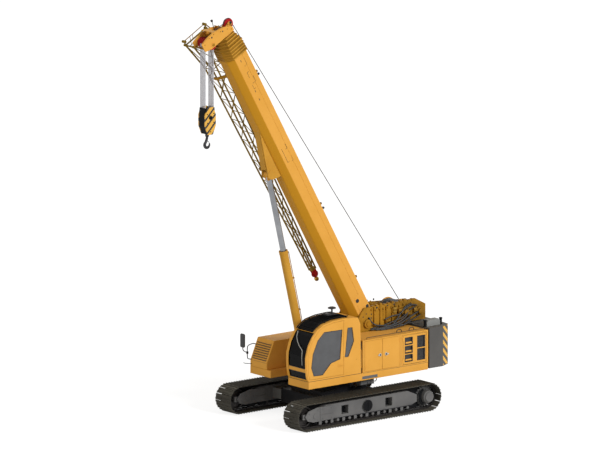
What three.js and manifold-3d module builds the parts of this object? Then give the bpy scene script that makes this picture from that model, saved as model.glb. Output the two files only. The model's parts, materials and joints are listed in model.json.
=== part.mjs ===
// Telescopic-boom crane on two tracks: undercarriage, turning deck with cab, winches and
// counterweight, a five-piece boom with one luffing cylinder, a stowed lattice jib and a hook block.
// Millimetres, +Z up, +X towards the front of the machine, +Y to its left. The slewing axis stands at
// x = slewAxisX, so that the origin lies on the ground under the middle of the whole machine.
import * as THREE from 'three';
import { mergeVertices } from 'three/addons/utils/BufferGeometryUtils.js';
import Module from 'manifold-3d';

const wasm = await Module();
wasm.setup();

// ---------------------------------------------------------------- driving dimensions
const SEAT_GAP = 0.3;            // between pieces that rest on each other
const RUN_GAP = 6;               // between pieces that move past each other

// tracks
const TRACK_GAUGE = 3180;        // centre to centre
const WHEELBASE = 4600;          // sprocket axle to idler axle
const SHOE_WIDTH = 700;
const SHOE_COUNT = 60;
const SHOE_THICKNESS = 30;
const GROUSER_HEIGHT = 28;
const CHAIN_WIDTH = 240;
const CHAIN_HEIGHT = 56;
const WHEEL_RADIUS = 316;        // idler and sprocket
const SIDE_FRAME_WIDTH = 400;
const SIDE_FRAME_HEIGHT = 450;
const BEAM_SIZE = 300;           // square telescopic cross beam
const BEAM_SPREAD = 830;         // each cross beam from the slewing axis, along X
const BEAM_WALL = 20;
const TRACK_TRAVEL = 450;        // how far each track draws in

// carbody and slewing ring
const CARBODY_TOP = 950;
const RING_RADIUS = 700;
const DECK_BOTTOM = 1150;

// turning deck
const DECK_HEIGHT = 215;
const DECK_HALF_WIDTH = 1450;
const DECK_REAR = -2600;
const CENTRE_HALF_WIDTH = 500;   // heavy centre frame
const CENTRE_FRONT = 1150;
const HOUSING_FRONT = -120;
const HOUSING_TOP = 2340;
const SHEET = 30;                // sheet panels with their frames
const DOOR_GAP = 6;
const HOOD_FRONT = 1780;
const HOOD_TOP = 2200;
const HOOD_INNER_Y = -680;
const COUNTERWEIGHT_DEPTH = 850;
const COUNTERWEIGHT_TOP = 2380;
const SUPPORT_THICKNESS = 60;
const SUPPORT_TOP = 3060;

// cab
const CAB_INNER_Y = 510;
const CAB_WALL = 45;
const GLASS = 8;
const DOOR_HINGE_X = 600;

// boom
const BOOM_PIVOT = [-1070, 2570];
const BOOM_ANGLE = 60.5;         // degrees from level, at rest
const BOOM_HALF_WIDTH = 390;
const BOOM_ABOVE = 420;          // top face over the pivot line
const BOOM_BELOW = 250;          // bottom under the pivot line
const BOOM_SHOULDER = 10;        // where the flat sides end and the rounded bottom begins
const BOOM_WALL = 10;
const SECTION_GAP = 20;          // slide pads between two sections
const BASE_LENGTH = 10250;
const COLLAR_LENGTH = 70;
const COLLAR_PROUD = 25;
const SECTION_COUNT = 5;

// luffing cylinder
const CYLINDER_FOOT = [870, 1550];
const CYLINDER_EYE = [5850, -530];  // along the boom and square to it, from the boom's pivot
const BARREL_RADIUS = 135;
const BARREL_BORE = 100;
const BARREL_LENGTH = 3600;
const ROD_RADIUS = 88;
const ROD_LENGTH = 3500;

// head, falls and hook block
const LOWER_SHEAVE = [BASE_LENGTH + 370, -460];
const UPPER_SHEAVE = [BASE_LENGTH + 410, 460];
const SHEAVE_RADIUS = 160;
const BLOCK_MIDDLE_Z = 9300;
const BLOCK_HEIGHT = 810;
const BLOCK_LENGTH = 400;
const BLOCK_WIDTH = 330;

// ---------------------------------------------------------------- paints and materials
const paint = (color, roughness = 0.5, metalness = 0.1) =>
  new THREE.MeshStandardMaterial({ color, roughness, metalness });
const YELLOW = paint('#e0a23c');
const FRAME_GREY = paint('#5d5b60', 0.6);
const BLACK = paint('#2b2a2e', 0.7);
const TRACK_STEEL = paint('#2f2d2d', 0.65, 0.6);
const WEIGHT_GREY = paint('#6a6b66', 0.6);
const TINTED_GLASS = paint('#4a4c4f', 0.1);
const CHROME = paint('#c8c9cc', 0.15, 1);
const RED = paint('#b3262a', 0.5);
const FABRIC = paint('#3a3a3c', 0.9);

// ---------------------------------------------------------------- shapes
function solid(geometry) {
  geometry.deleteAttribute('normal');
  geometry.deleteAttribute('uv');
  const merged = mergeVertices(geometry, 1e-3);
  return new wasm.Manifold(new wasm.Mesh({
    numProp: 3,
    vertProperties: new Float32Array(merged.attributes.position.array),
    triVerts: new Uint32Array(merged.index.array),
  }));
}

function outline(points) {
  const shape = new THREE.Shape();
  points.forEach(([a, b], i) => (i ? shape.lineTo(a, b) : shape.moveTo(a, b)));
  shape.closePath();
  return shape;
}

const joined = (first, ...others) => others.reduce((whole, next) => whole.add(next), first);
const cut = (whole, ...tools) => tools.reduce((left, tool) => left.subtract(tool), whole);

// A prism of an outline in (x, z), from y0 to y1.
function alongY(points, y0, y1) {
  const geometry = new THREE.ExtrudeGeometry(outline(points), { depth: y1 - y0, bevelEnabled: false });
  geometry.rotateX(Math.PI / 2).translate(0, y1, 0);
  return solid(geometry);
}

// A prism of an outline in (y, z), from x0 to x1.
function alongX(points, x0, x1) {
  const geometry = new THREE.ExtrudeGeometry(outline(points), { depth: x1 - x0, bevelEnabled: false });
  geometry.rotateX(Math.PI / 2).rotateZ(Math.PI / 2).translate(x0, 0, 0);
  return solid(geometry);
}

// A prism of an outline in (x, y), from z0 to z1.
function alongZ(points, z0, z1) {
  const geometry = new THREE.ExtrudeGeometry(outline(points), { depth: z1 - z0, bevelEnabled: false });
  geometry.translate(0, 0, z0);
  return solid(geometry);
}

function box(x0, x1, y0, y1, z0, z1) {
  const geometry = new THREE.BoxGeometry(x1 - x0, y1 - y0, z1 - z0);
  geometry.translate((x0 + x1) / 2, (y0 + y1) / 2, (z0 + z1) / 2);
  return solid(geometry);
}

// A round or many-sided bar between two points.
function bar(from, to, radius, sides = 20) {
  const a = new THREE.Vector3(...from);
  const b = new THREE.Vector3(...to);
  const geometry = new THREE.CylinderGeometry(radius, radius, a.distanceTo(b), sides);
  const turn = new THREE.Quaternion().setFromUnitVectors(new THREE.Vector3(0, 1, 0), b.clone().sub(a).normalize());
  geometry.applyQuaternion(turn);
  geometry.translate((a.x + b.x) / 2, (a.y + b.y) / 2, (a.z + b.z) / 2);
  return solid(geometry);
}

// A turned piece about a line along Y through (x, z); profile rows are (radius, y).
function turnedY(profile, x, z, sides = 24) {
  const geometry = new THREE.LatheGeometry(profile.map(([r, y]) => new THREE.Vector2(r, y)), sides);
  geometry.translate(x, 0, z);
  return solid(geometry);
}

// Moves every edge of a convex outline inwards (or outwards, below zero) by a distance.
function inset(points, distance) {
  const count = points.length;
  const turn = Math.sign(points.reduce((sum, [x, z], i) => {
    const [x2, z2] = points[(i + 1) % count];
    return sum + x * z2 - x2 * z;
  }, 0));
  const edges = points.map(([x, z], i) => {
    const [x2, z2] = points[(i + 1) % count];
    const length = Math.hypot(x2 - x, z2 - z);
    const nx = (-(z2 - z) / length) * turn;
    const nz = ((x2 - x) / length) * turn;
    return { x: x + nx * distance, z: z + nz * distance, dx: x2 - x, dz: z2 - z };
  });
  return edges.map((edge, i) => {
    const before = edges[(i + count - 1) % count];
    const cross = before.dx * edge.dz - before.dz * edge.dx;
    const t = ((edge.x - before.x) * edge.dz - (edge.z - before.z) * edge.dx) / cross;
    return [before.x + before.dx * t, before.z + before.dz * t];
  });
}

// Points on an arc, angles in degrees.
function arc(x, z, radius, from, to, steps) {
  return Array.from({ length: steps + 1 }, (_, i) => {
    const angle = ((from + ((to - from) * i) / steps) * Math.PI) / 180;
    return [x + radius * Math.cos(angle), z + radius * Math.sin(angle)];
  });
}

const machine = new THREE.Group();

function place(name, shape, material, parent) {
  const { vertProperties, triVerts, numProp } = shape.getMesh();
  const geometry = new THREE.BufferGeometry();
  const position = new Float32Array((vertProperties.length / numProp) * 3);
  for (let i = 0; i < position.length / 3; i++) {
    for (let k = 0; k < 3; k++) position[3 * i + k] = vertProperties[numProp * i + k];
  }
  geometry.setAttribute('position', new THREE.BufferAttribute(position, 3));
  geometry.setIndex(new THREE.BufferAttribute(new Uint32Array(triVerts), 1));
  geometry.computeVertexNormals();
  const mesh = new THREE.Mesh(geometry, material);
  mesh.name = name;
  parent.add(mesh);
}

// ---------------------------------------------------------------- tracks
const CHAIN_OUTER = WHEEL_RADIUS + CHAIN_HEIGHT;
const SHOE_OUTER = CHAIN_OUTER + SHOE_THICKNESS;
const TRACK_RADIUS = SHOE_OUTER + GROUSER_HEIGHT;
const AXLE_Z = TRACK_RADIUS;
const FRAME_BOTTOM = AXLE_Z - 180;
const FRAME_TOP = FRAME_BOTTOM + SIDE_FRAME_HEIGHT;
const BEAM_BOTTOM = (FRAME_BOTTOM + FRAME_TOP - BEAM_SIZE) / 2;
const BEAM_TOP = BEAM_BOTTOM + BEAM_SIZE;
const BEAM_INNER_Y = TRACK_TRAVEL + 50;
const FRAME_HALF = WHEELBASE / 2 - WHEEL_RADIUS - 90;   // side frame between the two wheels

// A closed belt line at a radius round both wheels, as points with their outward directions.
function beltPoint(radius, distance) {
  const run = WHEELBASE;
  const bend = Math.PI * radius;
  const length = 2 * (run + bend);
  let s = ((distance % length) + length) % length;
  if (s < run) return [s - run / 2, AXLE_Z + radius, 0, 1];
  s -= run;
  if (s < bend) {
    const a = Math.PI / 2 - s / radius;
    return [run / 2 + radius * Math.cos(a), AXLE_Z + radius * Math.sin(a), Math.cos(a), Math.sin(a)];
  }
  s -= bend;
  if (s < run) return [run / 2 - s, AXLE_Z - radius, 0, -1];
  s -= run;
  const a = -Math.PI / 2 - s / radius;
  return [-run / 2 + radius * Math.cos(a), AXLE_Z + radius * Math.sin(a), Math.cos(a), Math.sin(a)];
}

function stadium(radius) {
  const half = WHEELBASE / 2;
  return [...arc(half, AXLE_Z, radius, -90, 90, 10), ...arc(-half, AXLE_Z, radius, 90, 270, 10)];
}

function trackLoop(middleY) {
  const pitch = (2 * (WHEELBASE + Math.PI * SHOE_OUTER)) / SHOE_COUNT;
  const rim = [];
  for (let i = 0; i < SHOE_COUNT; i++) {
    // a plate, then a grouser standing at its trailing edge
    for (const [share, rise] of [[0.04, 0], [0.7, 0], [0.78, GROUSER_HEIGHT], [0.9, GROUSER_HEIGHT]]) {
      const [x, z, nx, nz] = beltPoint(SHOE_OUTER, (i + share) * pitch);
      rim.push([x + nx * rise, z + nz * rise]);
    }
  }
  const y0 = middleY - SHOE_WIDTH / 2;
  const shoes = cut(alongY(rim, y0, y0 + SHOE_WIDTH), alongY(stadium(CHAIN_OUTER - 2), y0 - 1, y0 + SHOE_WIDTH + 1));
  const chain = cut(
    alongY(stadium(CHAIN_OUTER), middleY - CHAIN_WIDTH / 2, middleY + CHAIN_WIDTH / 2),
    alongY(stadium(WHEEL_RADIUS + RUN_GAP), middleY - CHAIN_WIDTH, middleY + CHAIN_WIDTH),
  );
  return joined(shoes, chain);
}

// side is +1 on the left and -1 on the right; outwards is the direction of side.
function sideFrame(side) {
  const middle = (side * TRACK_GAUGE) / 2;
  const across = (from, to) => [middle + side * from, middle + side * to].sort((a, b) => a - b);
  const half = SIDE_FRAME_WIDTH / 2;
  const body = alongY([
    [-FRAME_HALF, FRAME_BOTTOM + 90], [-FRAME_HALF + 250, FRAME_BOTTOM],
    [FRAME_HALF - 250, FRAME_BOTTOM], [FRAME_HALF, FRAME_BOTTOM + 90],
    [FRAME_HALF, FRAME_TOP - 150], [FRAME_HALF - 350, FRAME_TOP],
    [-FRAME_HALF + 350, FRAME_TOP], [-FRAME_HALF, FRAME_TOP - 150],
  ], ...across(-half, half));
  const forkInner = 130;
  const forkOuter = 190;
  const forks = [1, -1].map((face) => box(
    FRAME_HALF - 60, WHEELBASE / 2 + 110,
    ...across(...[face * forkInner, face * forkOuter].sort((a, b) => a - b)), AXLE_Z - 75, AXLE_Z + 75,
  ));
  const driveSeat = joined(
    box(-WHEELBASE / 2 - 120, -FRAME_HALF + 200, ...across(-290, -255), AXLE_Z - 140, AXLE_Z + 140),
    box(-FRAME_HALF, -FRAME_HALF + 200, ...across(-290, -half + 5), AXLE_Z - 140, AXLE_Z + 140),
  );
  const beams = [1, -1].map((end) => {
    const x = end * BEAM_SPREAD;
    const [y0, y1] = [side * BEAM_INNER_Y, middle].sort((a, b) => a - b);
    return box(x - BEAM_SIZE / 2, x + BEAM_SIZE / 2, y0, y1, BEAM_BOTTOM, BEAM_TOP);
  });
  const pockets = [1, -1].map((end) => {
    const x = end * BEAM_SPREAD;
    const reach = BEAM_SIZE / 2 - BEAM_WALL;
    return box(x - reach, x + reach, ...across(-150, half + 10), BEAM_BOTTOM + BEAM_WALL, BEAM_TOP - BEAM_WALL);
  });
  const [c0, c1] = across(half - 5, half + 45);
  const cover = bar([0, c0, AXLE_Z + 50], [0, c1, AXLE_Z + 50], 165);
  return cut(joined(body, ...forks, driveSeat, ...beams, cover), ...pockets);
}

function idler(side) {
  const middle = (side * TRACK_GAUGE) / 2;
  return turnedY([
    [0, -120], [70, -120], [70, -95], [WHEEL_RADIUS, -95], [WHEEL_RADIUS, 95], [70, 95], [70, 120], [0, 120],
  ].map(([r, y]) => [r, y + middle]), WHEELBASE / 2, AXLE_Z);
}

function sprocket(side) {
  const middle = (side * TRACK_GAUGE) / 2;
  const profile = [
    [0, -250], [165, -250], [165, -60], [WHEEL_RADIUS, -60], [WHEEL_RADIUS, 60],
    [215, 60], [215, 180], [185, 215], [185, 290], [150, 315], [0, 315],
  ].map(([r, y]) => [r, middle + side * y]);
  return turnedY(side > 0 ? profile : profile.reverse(), -WHEELBASE / 2, AXLE_Z);
}

// Track rollers under the side frame, on the rail that carries them.
function rollers(side) {
  const middle = (side * TRACK_GAUGE) / 2;
  const radius = 85;
  const z = AXLE_Z - WHEEL_RADIUS + radius - RUN_GAP + 6;
  const count = 9;
  const reach = FRAME_HALF - 150;
  const rail = box(-reach - 60, reach + 60, middle - 45, middle + 45, z - 25, FRAME_BOTTOM - SEAT_GAP);
  const wheels = Array.from({ length: count }, (_, i) => {
    const x = -reach + (2 * reach * i) / (count - 1);
    return bar([x, middle - 105, z], [x, middle + 105, z], radius, 14);
  });
  return cut(joined(rail, ...wheels), box(-WHEELBASE, WHEELBASE, -3000, 3000, FRAME_BOTTOM - SEAT_GAP, 2000));
}

function buildTrack(side, name) {
  const group = new THREE.Group();
  machine.add(group);
  place(`${name}_track_loop`, trackLoop((side * TRACK_GAUGE) / 2), TRACK_STEEL, group);
  place(`${name}_side_frame`, sideFrame(side), FRAME_GREY, group);
  place(`${name}_idler`, idler(side), TRACK_STEEL, group);
  place(`${name}_sprocket`, sprocket(side), FRAME_GREY, group);
  place(`${name}_rollers`, rollers(side), TRACK_STEEL, group);
}

// ---------------------------------------------------------------- carbody
function carbody() {
  const tubeHalf = BEAM_SIZE / 2 + 50;
  const beamMiddle = (BEAM_BOTTOM + BEAM_TOP) / 2;
  const tubeEnd = TRACK_GAUGE / 2 - SIDE_FRAME_WIDTH / 2 - TRACK_TRAVEL - 20;
  const block = box(-BEAM_SPREAD, BEAM_SPREAD, -720, 720, beamMiddle - 170, CARBODY_TOP - 150);
  const tubes = [1, -1].map((end) => box(
    end * BEAM_SPREAD - tubeHalf, end * BEAM_SPREAD + tubeHalf, -tubeEnd, tubeEnd,
    beamMiddle - tubeHalf, beamMiddle + tubeHalf,
  ));
  const bores = [1, -1].map((end) => {
    const reach = BEAM_SIZE / 2 + RUN_GAP;
    return box(
      end * BEAM_SPREAD - reach, end * BEAM_SPREAD + reach, -tubeEnd - 10, tubeEnd + 10,
      beamMiddle - reach, beamMiddle + reach,
    );
  });
  const pedestal = bar([0, 0, CARBODY_TOP - 160], [0, 0, CARBODY_TOP], RING_RADIUS + 40, 32);
  return cut(joined(block, ...tubes, pedestal), ...bores);
}

// ---------------------------------------------------------------- turning deck
const DECK_TOP = DECK_BOTTOM + DECK_HEIGHT;

function tray(x0, x1, y0, y1) {
  const wall = 40;
  return cut(
    box(x0, x1, y0, y1, DECK_BOTTOM, DECK_TOP),
    box(x0 + wall, x1 - wall, y0 + wall, y1 - wall, DECK_BOTTOM - 1, DECK_TOP - wall),
  );
}

// Centre frame, with the two ears that carry the luffing cylinder's foot.
function centreFrame() {
  const base = box(DECK_REAR, CENTRE_FRONT, -CENTRE_HALF_WIDTH, CENTRE_HALF_WIDTH, DECK_BOTTOM, DECK_TOP - 35);
  const [x, z] = CYLINDER_FOOT;
  const ears = [1, -1].map((side) => alongY(
    [[x - 260, DECK_TOP - 40], [x + 240, DECK_TOP - 40], ...arc(x, z, 130, 0, 180, 8)],
    ...[side * 190, side * 250].sort((a, b) => a - b),
  ));
  return joined(base, ...ears);
}

// Side plate that carries the boom's foot pin and the winches.
function boomSupport(side) {
  const [px, pz] = BOOM_PIVOT;
  const low = DECK_TOP - 35 + SEAT_GAP;
  const rear = side > 0 ? SUPPORT_TOP + 30 : SUPPORT_TOP - 160;  // the right plate is lower behind
  const plate = alongY([
    [CENTRE_FRONT - 20, low], [CENTRE_FRONT - 20, low + 120], [500, 1700], [-450, 2250], [px + 330, pz + 150],
    [px + 210, pz + 330], [px + 90, SUPPORT_TOP - 20], [-2900, rear], [-3300, 2880],
    [-3300, COUNTERWEIGHT_TOP + 40], [DECK_REAR + 10, COUNTERWEIGHT_TOP + 40], [DECK_REAR + 10, low],
  ], ...[side * 415, side * (415 + SUPPORT_THICKNESS)].sort((a, b) => a - b));
  const [b0, b1] = [side * 440, side * (415 + SUPPORT_THICKNESS + 45)].sort((a, b) => a - b);
  return joined(plate, bar([px, b0, pz], [px, b1, pz], 120));
}

const DOORS = {
  service_door_front: [-861, -206, DECK_TOP + 35, HOUSING_TOP - 40],
  service_door_rear: [-1525, -871, DECK_TOP + 35, HOUSING_TOP - 40],
  grille_door: [-2525, -1620, DECK_TOP + 40, HOUSING_TOP - 45],
};

function louvres(x0, x1, z0, z1, count) {
  const pitch = (z1 - z0) / count;
  return Array.from({ length: count }, (_, i) =>
    box(x0, x1, 0, 3000, z0 + pitch * (i + 0.06), z0 + pitch * (i + 0.94)));
}

function leftHousing() {
  const y0 = CENTRE_HALF_WIDTH + 20;
  const low = DECK_TOP + SEAT_GAP;
  const shell = cut(
    box(DECK_REAR, HOUSING_FRONT, y0, DECK_HALF_WIDTH, low, HOUSING_TOP),
    box(DECK_REAR + SHEET, HOUSING_FRONT - SHEET, y0 + SHEET, DECK_HALF_WIDTH - SHEET, low - 1, HOUSING_TOP - SHEET),
  );
  const openings = Object.values(DOORS).map(([a, b, c, d]) =>
    box(a - DOOR_GAP, b + DOOR_GAP, DECK_HALF_WIDTH - SHEET - 5, DECK_HALF_WIDTH + 5, c - DOOR_GAP, d + DOOR_GAP));
  return cut(shell, ...openings);
}

function sidePanel([x0, x1, z0, z1], side) {
  return box(x0, x1, ...[side * (DECK_HALF_WIDTH - SHEET), side * DECK_HALF_WIDTH].sort((a, b) => a - b), z0, z1);
}

const HOOD_DOOR = [-300, 900, DECK_TOP + 65, HOOD_TOP - 120];

function rightHood() {
  const low = DECK_TOP + SEAT_GAP;
  const side = [[DECK_REAR, low], [HOOD_FRONT, low], [HOOD_FRONT, 1560], [1500, HOOD_TOP], [DECK_REAR, HOOD_TOP]];
  const [a, b, c, d] = HOOD_DOOR;
  const inner = alongY(inset(side, SHEET), -DECK_HALF_WIDTH + SHEET, HOOD_INNER_Y - SHEET);
  return cut(
    alongY(side, -DECK_HALF_WIDTH, HOOD_INNER_Y),
    inner,
    box(a - DOOR_GAP, b + DOOR_GAP, -DECK_HALF_WIDTH - 5, -DECK_HALF_WIDTH + SHEET + 5, c - DOOR_GAP, d + DOOR_GAP),
  );
}

function counterweight() {
  const front = DECK_REAR - 50;
  const rear = front - COUNTERWEIGHT_DEPTH;
  const half = DECK_HALF_WIDTH;
  const block = alongZ([
    [front, -half], [front, half], [rear + 340, half], [rear, half - 180], [rear - 80, half - 900],
    [rear - 80, -half + 900], [rear, -half + 180], [rear + 340, -half],
  ], DECK_BOTTOM + 20, COUNTERWEIGHT_TOP);
  return joined(block, counterweightCap(1), counterweightCap(-1));
}

// A raised slab on the counterweight, between the two posts that it is lifted by.
function counterweightCap(side) {
  const front = DECK_REAR - 120;
  const top = COUNTERWEIGHT_TOP + 190;
  const slab = alongY([
    [front - 500, COUNTERWEIGHT_TOP - 20], [front, COUNTERWEIGHT_TOP - 20], [front, top - 50], [front - 60, top],
    [front - 440, top], [front - 500, top - 50],
  ], ...[side * 1050, side * 1250].sort((a, b) => a - b));
  const posts = [front + 30, front - 570].map((x) =>
    bar([x, side * 1190, COUNTERWEIGHT_TOP - 20], [x, side * 1190, top + 10], 42, 12));
  return joined(slab, ...posts);
}

function winch([x, z], coreRadius, flangeRadius) {
  return turnedY([
    [0, -395], [110, -395], [110, -335], [flangeRadius, -335], [flangeRadius, -305], [coreRadius, -305],
    [coreRadius, 305], [flangeRadius, 305], [flangeRadius, 335], [110, 335], [110, 395], [0, 395],
  ], x, z);
}
const MAIN_WINCH = [-2500, 2740];
const AUX_WINCH = [-3040, 2700];

function mirror() {
  const y = -1840;
  return joined(
    box(1735, 1765, y - 90, y + 90, 1850, 2260),
    bar([1750, y, 1950], [1750, -1500, 1700], 18, 8),
    bar([1750, -1500, 1700], [1750, -1500, 1450], 18, 8),
    box(1715, 1785, -1530, -DECK_HALF_WIDTH - SEAT_GAP, 1420, 1470),
  );
}

// ---------------------------------------------------------------- cab
const CAB_SIDE = [
  [-60, DECK_TOP + SEAT_GAP], [1920, DECK_TOP + SEAT_GAP], [1985, 1650], [2000, 2120], [1905, 2440],
  [1750, 2700], [1580, 2880], [1360, 3010], [1000, 3080], [550, 3100], [60, 3060], [-30, 2860],
];
const DOOR_WINDOW = [
  [1400, 1520], [1730, 1530], [1820, 1790], [1760, 2180], [1580, 2570], [1340, 2790], [660, 2780], [740, 1910],
  [1080, 1830],
];
const REAR_SIDE_WINDOW = [[550, 1940], [450, 2810], [280, 2800], [220, 2380], [430, 1940]];
const SCREEN = { y0: 570, y1: 1390, lower: [1440, 1640], upper: [1760, 2880] };
const BACK_WINDOW = { y0: 640, y1: 1320, z0: 1950, z1: 2720 };
const RIGHT_WINDOW = [[300, 1950], [1650, 1950], [1620, 2250], [1400, 2650], [1250, 2770], [300, 2770]];

const cabStrip = (outer, inner, y0, y1) => cut(
  alongY(inset(CAB_SIDE, outer), y0, y1), alongY(inset(CAB_SIDE, inner), y0 - 1, y1 + 1));

function cabShell() {
  const y0 = CAB_INNER_Y;
  const y1 = DECK_HALF_WIDTH;
  const [low, high] = SCREEN.lower;
  const [up, top] = SCREEN.upper;
  const doorway = alongY(inset(CAB_SIDE, 50), y1 - CAB_WALL - 5, y1 + 5)
    .intersect(box(DOOR_HINGE_X - 5, 2200, y0, y1 + 10, DECK_TOP + 60, 3200));
  return cut(
    alongY(CAB_SIDE, y0, y1),
    alongY(inset(CAB_SIDE, CAB_WALL), y0 + CAB_WALL, y1 - CAB_WALL),
    box(1560, 2200, SCREEN.y0, SCREEN.y1, low, high),
    box(1560, 2200, SCREEN.y0, SCREEN.y1, up, top),
    box(-200, 60, BACK_WINDOW.y0, BACK_WINDOW.y1, BACK_WINDOW.z0, BACK_WINDOW.z1),
    alongY(REAR_SIDE_WINDOW, y1 - CAB_WALL - 5, y1 + 5),
    alongY(RIGHT_WINDOW, y0 - 5, y0 + CAB_WALL + 5),
    doorway,
  );
}

function cabDoor() {
  const y1 = DECK_HALF_WIDTH;
  const leaf = alongY(inset(CAB_SIDE, 50 + DOOR_GAP), y1 - CAB_WALL, y1)
    .intersect(box(DOOR_HINGE_X + 3, 2200, 0, y1 + 10, DECK_TOP + 60 + DOOR_GAP, 3200));
  return cut(leaf, alongY(DOOR_WINDOW, y1 - CAB_WALL - 5, y1 + 5));
}

const sidePane = (window, y) => alongY(inset(window, 1), y, y + GLASS);

function screenPane([z0, z1]) {
  return cabStrip(14, 14 + GLASS, SCREEN.y0 + 1, SCREEN.y1 - 1)
    .intersect(box(1561, 2200, 0, 3000, z0 + 1, z1 - 1));
}

function roofGuard() {
  const y0 = 590;
  const y1 = 1340;
  const strip = cabStrip(-62, -38, y0, y1).intersect(box(330, 1840, 0, 3000, 2650, 3400));
  const slots = Array.from({ length: 9 }, (_, i) => {
    const x = 420 + i * 130;
    return box(x, x + 62, y0 + 40, y1 - 40, 2900, 3400);
  });
  const feet = [y0, y1 - 30].flatMap((y) => [400, 1200].map((x) => box(x, x + 40, y, y + 30, 2900, 3140)));
  return cut(joined(strip, ...feet), ...slots, alongY(inset(CAB_SIDE, -SEAT_GAP), 0, 3000));
}

function horn() {
  const x = 650;
  const y = 960;
  const seat = 3162 + SEAT_GAP;
  const plate = box(x - 160, x + 260, y - 130, y + 130, seat, seat + 22);
  const geometry = new THREE.LatheGeometry([
    [0, 0], [70, 0], [45, 40], [28, 60], [28, 130], [60, 150], [125, 165], [125, 185], [70, 215], [0, 220],
  ].map(([r, z]) => new THREE.Vector2(r, z)), 20);
  geometry.rotateX(Math.PI / 2).translate(x, y, seat + 15);
  return joined(plate, solid(geometry));
}

function seat() {
  const y0 = 760;
  const y1 = 1210;
  const floor = DECK_TOP + CAB_WALL + 2 * SEAT_GAP;
  const side = [
    [480, floor], [880, floor], [880, floor + 330], [1000, floor + 340], [1000, floor + 460],
    [560, floor + 440], [470, floor + 1120], [340, floor + 1110], [400, floor + 330], [480, floor + 320],
  ];
  return alongY(side, y0, y1);
}

function console() {
  const floor = DECK_TOP + CAB_WALL + 2 * SEAT_GAP;
  return alongY([[1430, floor], [1640, floor], [1680, floor + 520], [1520, floor + 560]], 800, 1160);
}

// ---------------------------------------------------------------- boom, in its own frame
// x runs along the boom from its foot pivot, z is square to it, upwards.
const SECTION_STEP = BOOM_WALL + SECTION_GAP;

function boomOutline(step) {
  const half = BOOM_HALF_WIDTH - step;
  const top = BOOM_ABOVE - step;
  const low = -BOOM_BELOW + step;
  const flat = 160 - step * 0.4;
  const corner = 40;
  const curve = Array.from({ length: 6 }, (_, i) => {
    const a = (Math.PI / 2) * (i / 5);
    return [half - (half - flat) * (1 - Math.cos(a)), BOOM_SHOULDER - (BOOM_SHOULDER - low) * Math.sin(a)];
  });
  const right = [[half - corner, top], [half, top - corner], ...curve];
  const left = right.map(([y, z]) => [-y, z]).reverse();
  return [...right, ...left];
}

function boomTube(step, from, to) {
  return cut(
    alongX(boomOutline(step), from, to),
    alongX(boomOutline(step + BOOM_WALL), from - 1, to + 1),
  );
}

function collar(step, from, to) {
  return cut(
    alongX(boomOutline(step - COLLAR_PROUD), from, to),
    alongX(boomOutline(step + BOOM_WALL), from - 1, to + 1),
  );
}

function boomBase() {
  const tube = boomTube(0, -350, BASE_LENGTH);
  const [ex, ez] = CYLINDER_EYE;
  const saddle = [1, -1].map((side) => alongY([
    [ex - 300, -BOOM_BELOW + 5], [ex - 220, ez - 90], [ex + 180, ez - 90], [ex + 1350, -BOOM_BELOW + 5],
  ], ...[side * 105, side * 145].sort((a, b) => a - b)));
  const foot = cut(alongX(boomOutline(BOOM_WALL - 1), -350, -320));
  return joined(
    tube, collar(0, BASE_LENGTH - 300, BASE_LENGTH), ...saddle, foot, ...JIB_BRACKETS.map(jibBracket),
  );
}

const collarStart = (index) => BASE_LENGTH + 20 + (index - 1) * (COLLAR_LENGTH + 20);

function boomSection(index) {
  const step = index * SECTION_STEP;
  const from = 100 + 200 * index;
  const start = collarStart(index);
  return joined(boomTube(step, from, start + COLLAR_LENGTH), collar(step, start, start + COLLAR_LENGTH));
}

const HEAD_START = collarStart(SECTION_COUNT - 1);

function boomHead() {
  const step = (SECTION_COUNT - 1) * SECTION_STEP;
  const half = BOOM_HALF_WIDTH - step;
  const [lx, lz] = LOWER_SHEAVE;
  const [ux, uz] = UPPER_SHEAVE;
  const tube = boomTube(step, 100 + 200 * (SECTION_COUNT - 1), HEAD_START + 20);
  const wall = box(HEAD_START, HEAD_START + 30, -half - 25, half + 25, lz + SHEAVE_RADIUS + 10, uz - SHEAVE_RADIUS - 10);
  const cheek = [
    [HEAD_START, lz - 100], [lx - 20, lz - 330], [lx + 240, lz - 350], [lx + 315, lz - 80], [lx + 330, lz + 150],
    [lx + 240, lz + 550], [ux + 20, uz - 70], [HEAD_START, uz - 70],
  ];
  const cheeks = [1, -1].map((side) => alongY(cheek, ...[side * half, side * (half + 28)].sort((a, b) => a - b)));
  const lugs = [1, -1].map((side) => alongY([
    [HEAD_START + 20, uz - 300], [ux - 20, uz - 300], ...arc(ux, uz, 80, -30, 180, 8),
  ], ...[side * 62, side * 92].sort((a, b) => a - b)));
  return joined(tube, wall, ...cheeks, ...lugs);
}

function sheaveSet([x, z], radius, halfWidth, count) {
  const profile = [[0, -halfWidth]];
  const pitch = (2 * halfWidth) / count;
  for (let i = 0; i < count; i++) {
    const y = -halfWidth + i * pitch;
    profile.push([radius, y], [radius, y + pitch * 0.15], [radius - 35, y + pitch * 0.5], [radius, y + pitch * 0.85]);
  }
  profile.push([radius, halfWidth], [0, halfWidth]);
  return turnedY(profile, x, z, 20);
}

// ---------------------------------------------------------------- lattice jib, stowed along the boom's right side
const JIB = {
  middleY: -1010, tipX: 1750, footX: 10330, flareX: 9300,
  halfTip: 70, halfFlare: 180, halfFootY: 190, halfFootZ: 430, footMiddleZ: -20, chord: 26, lace: 16,
};

const JIB_BRACKETS = [5600, 9000];

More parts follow.
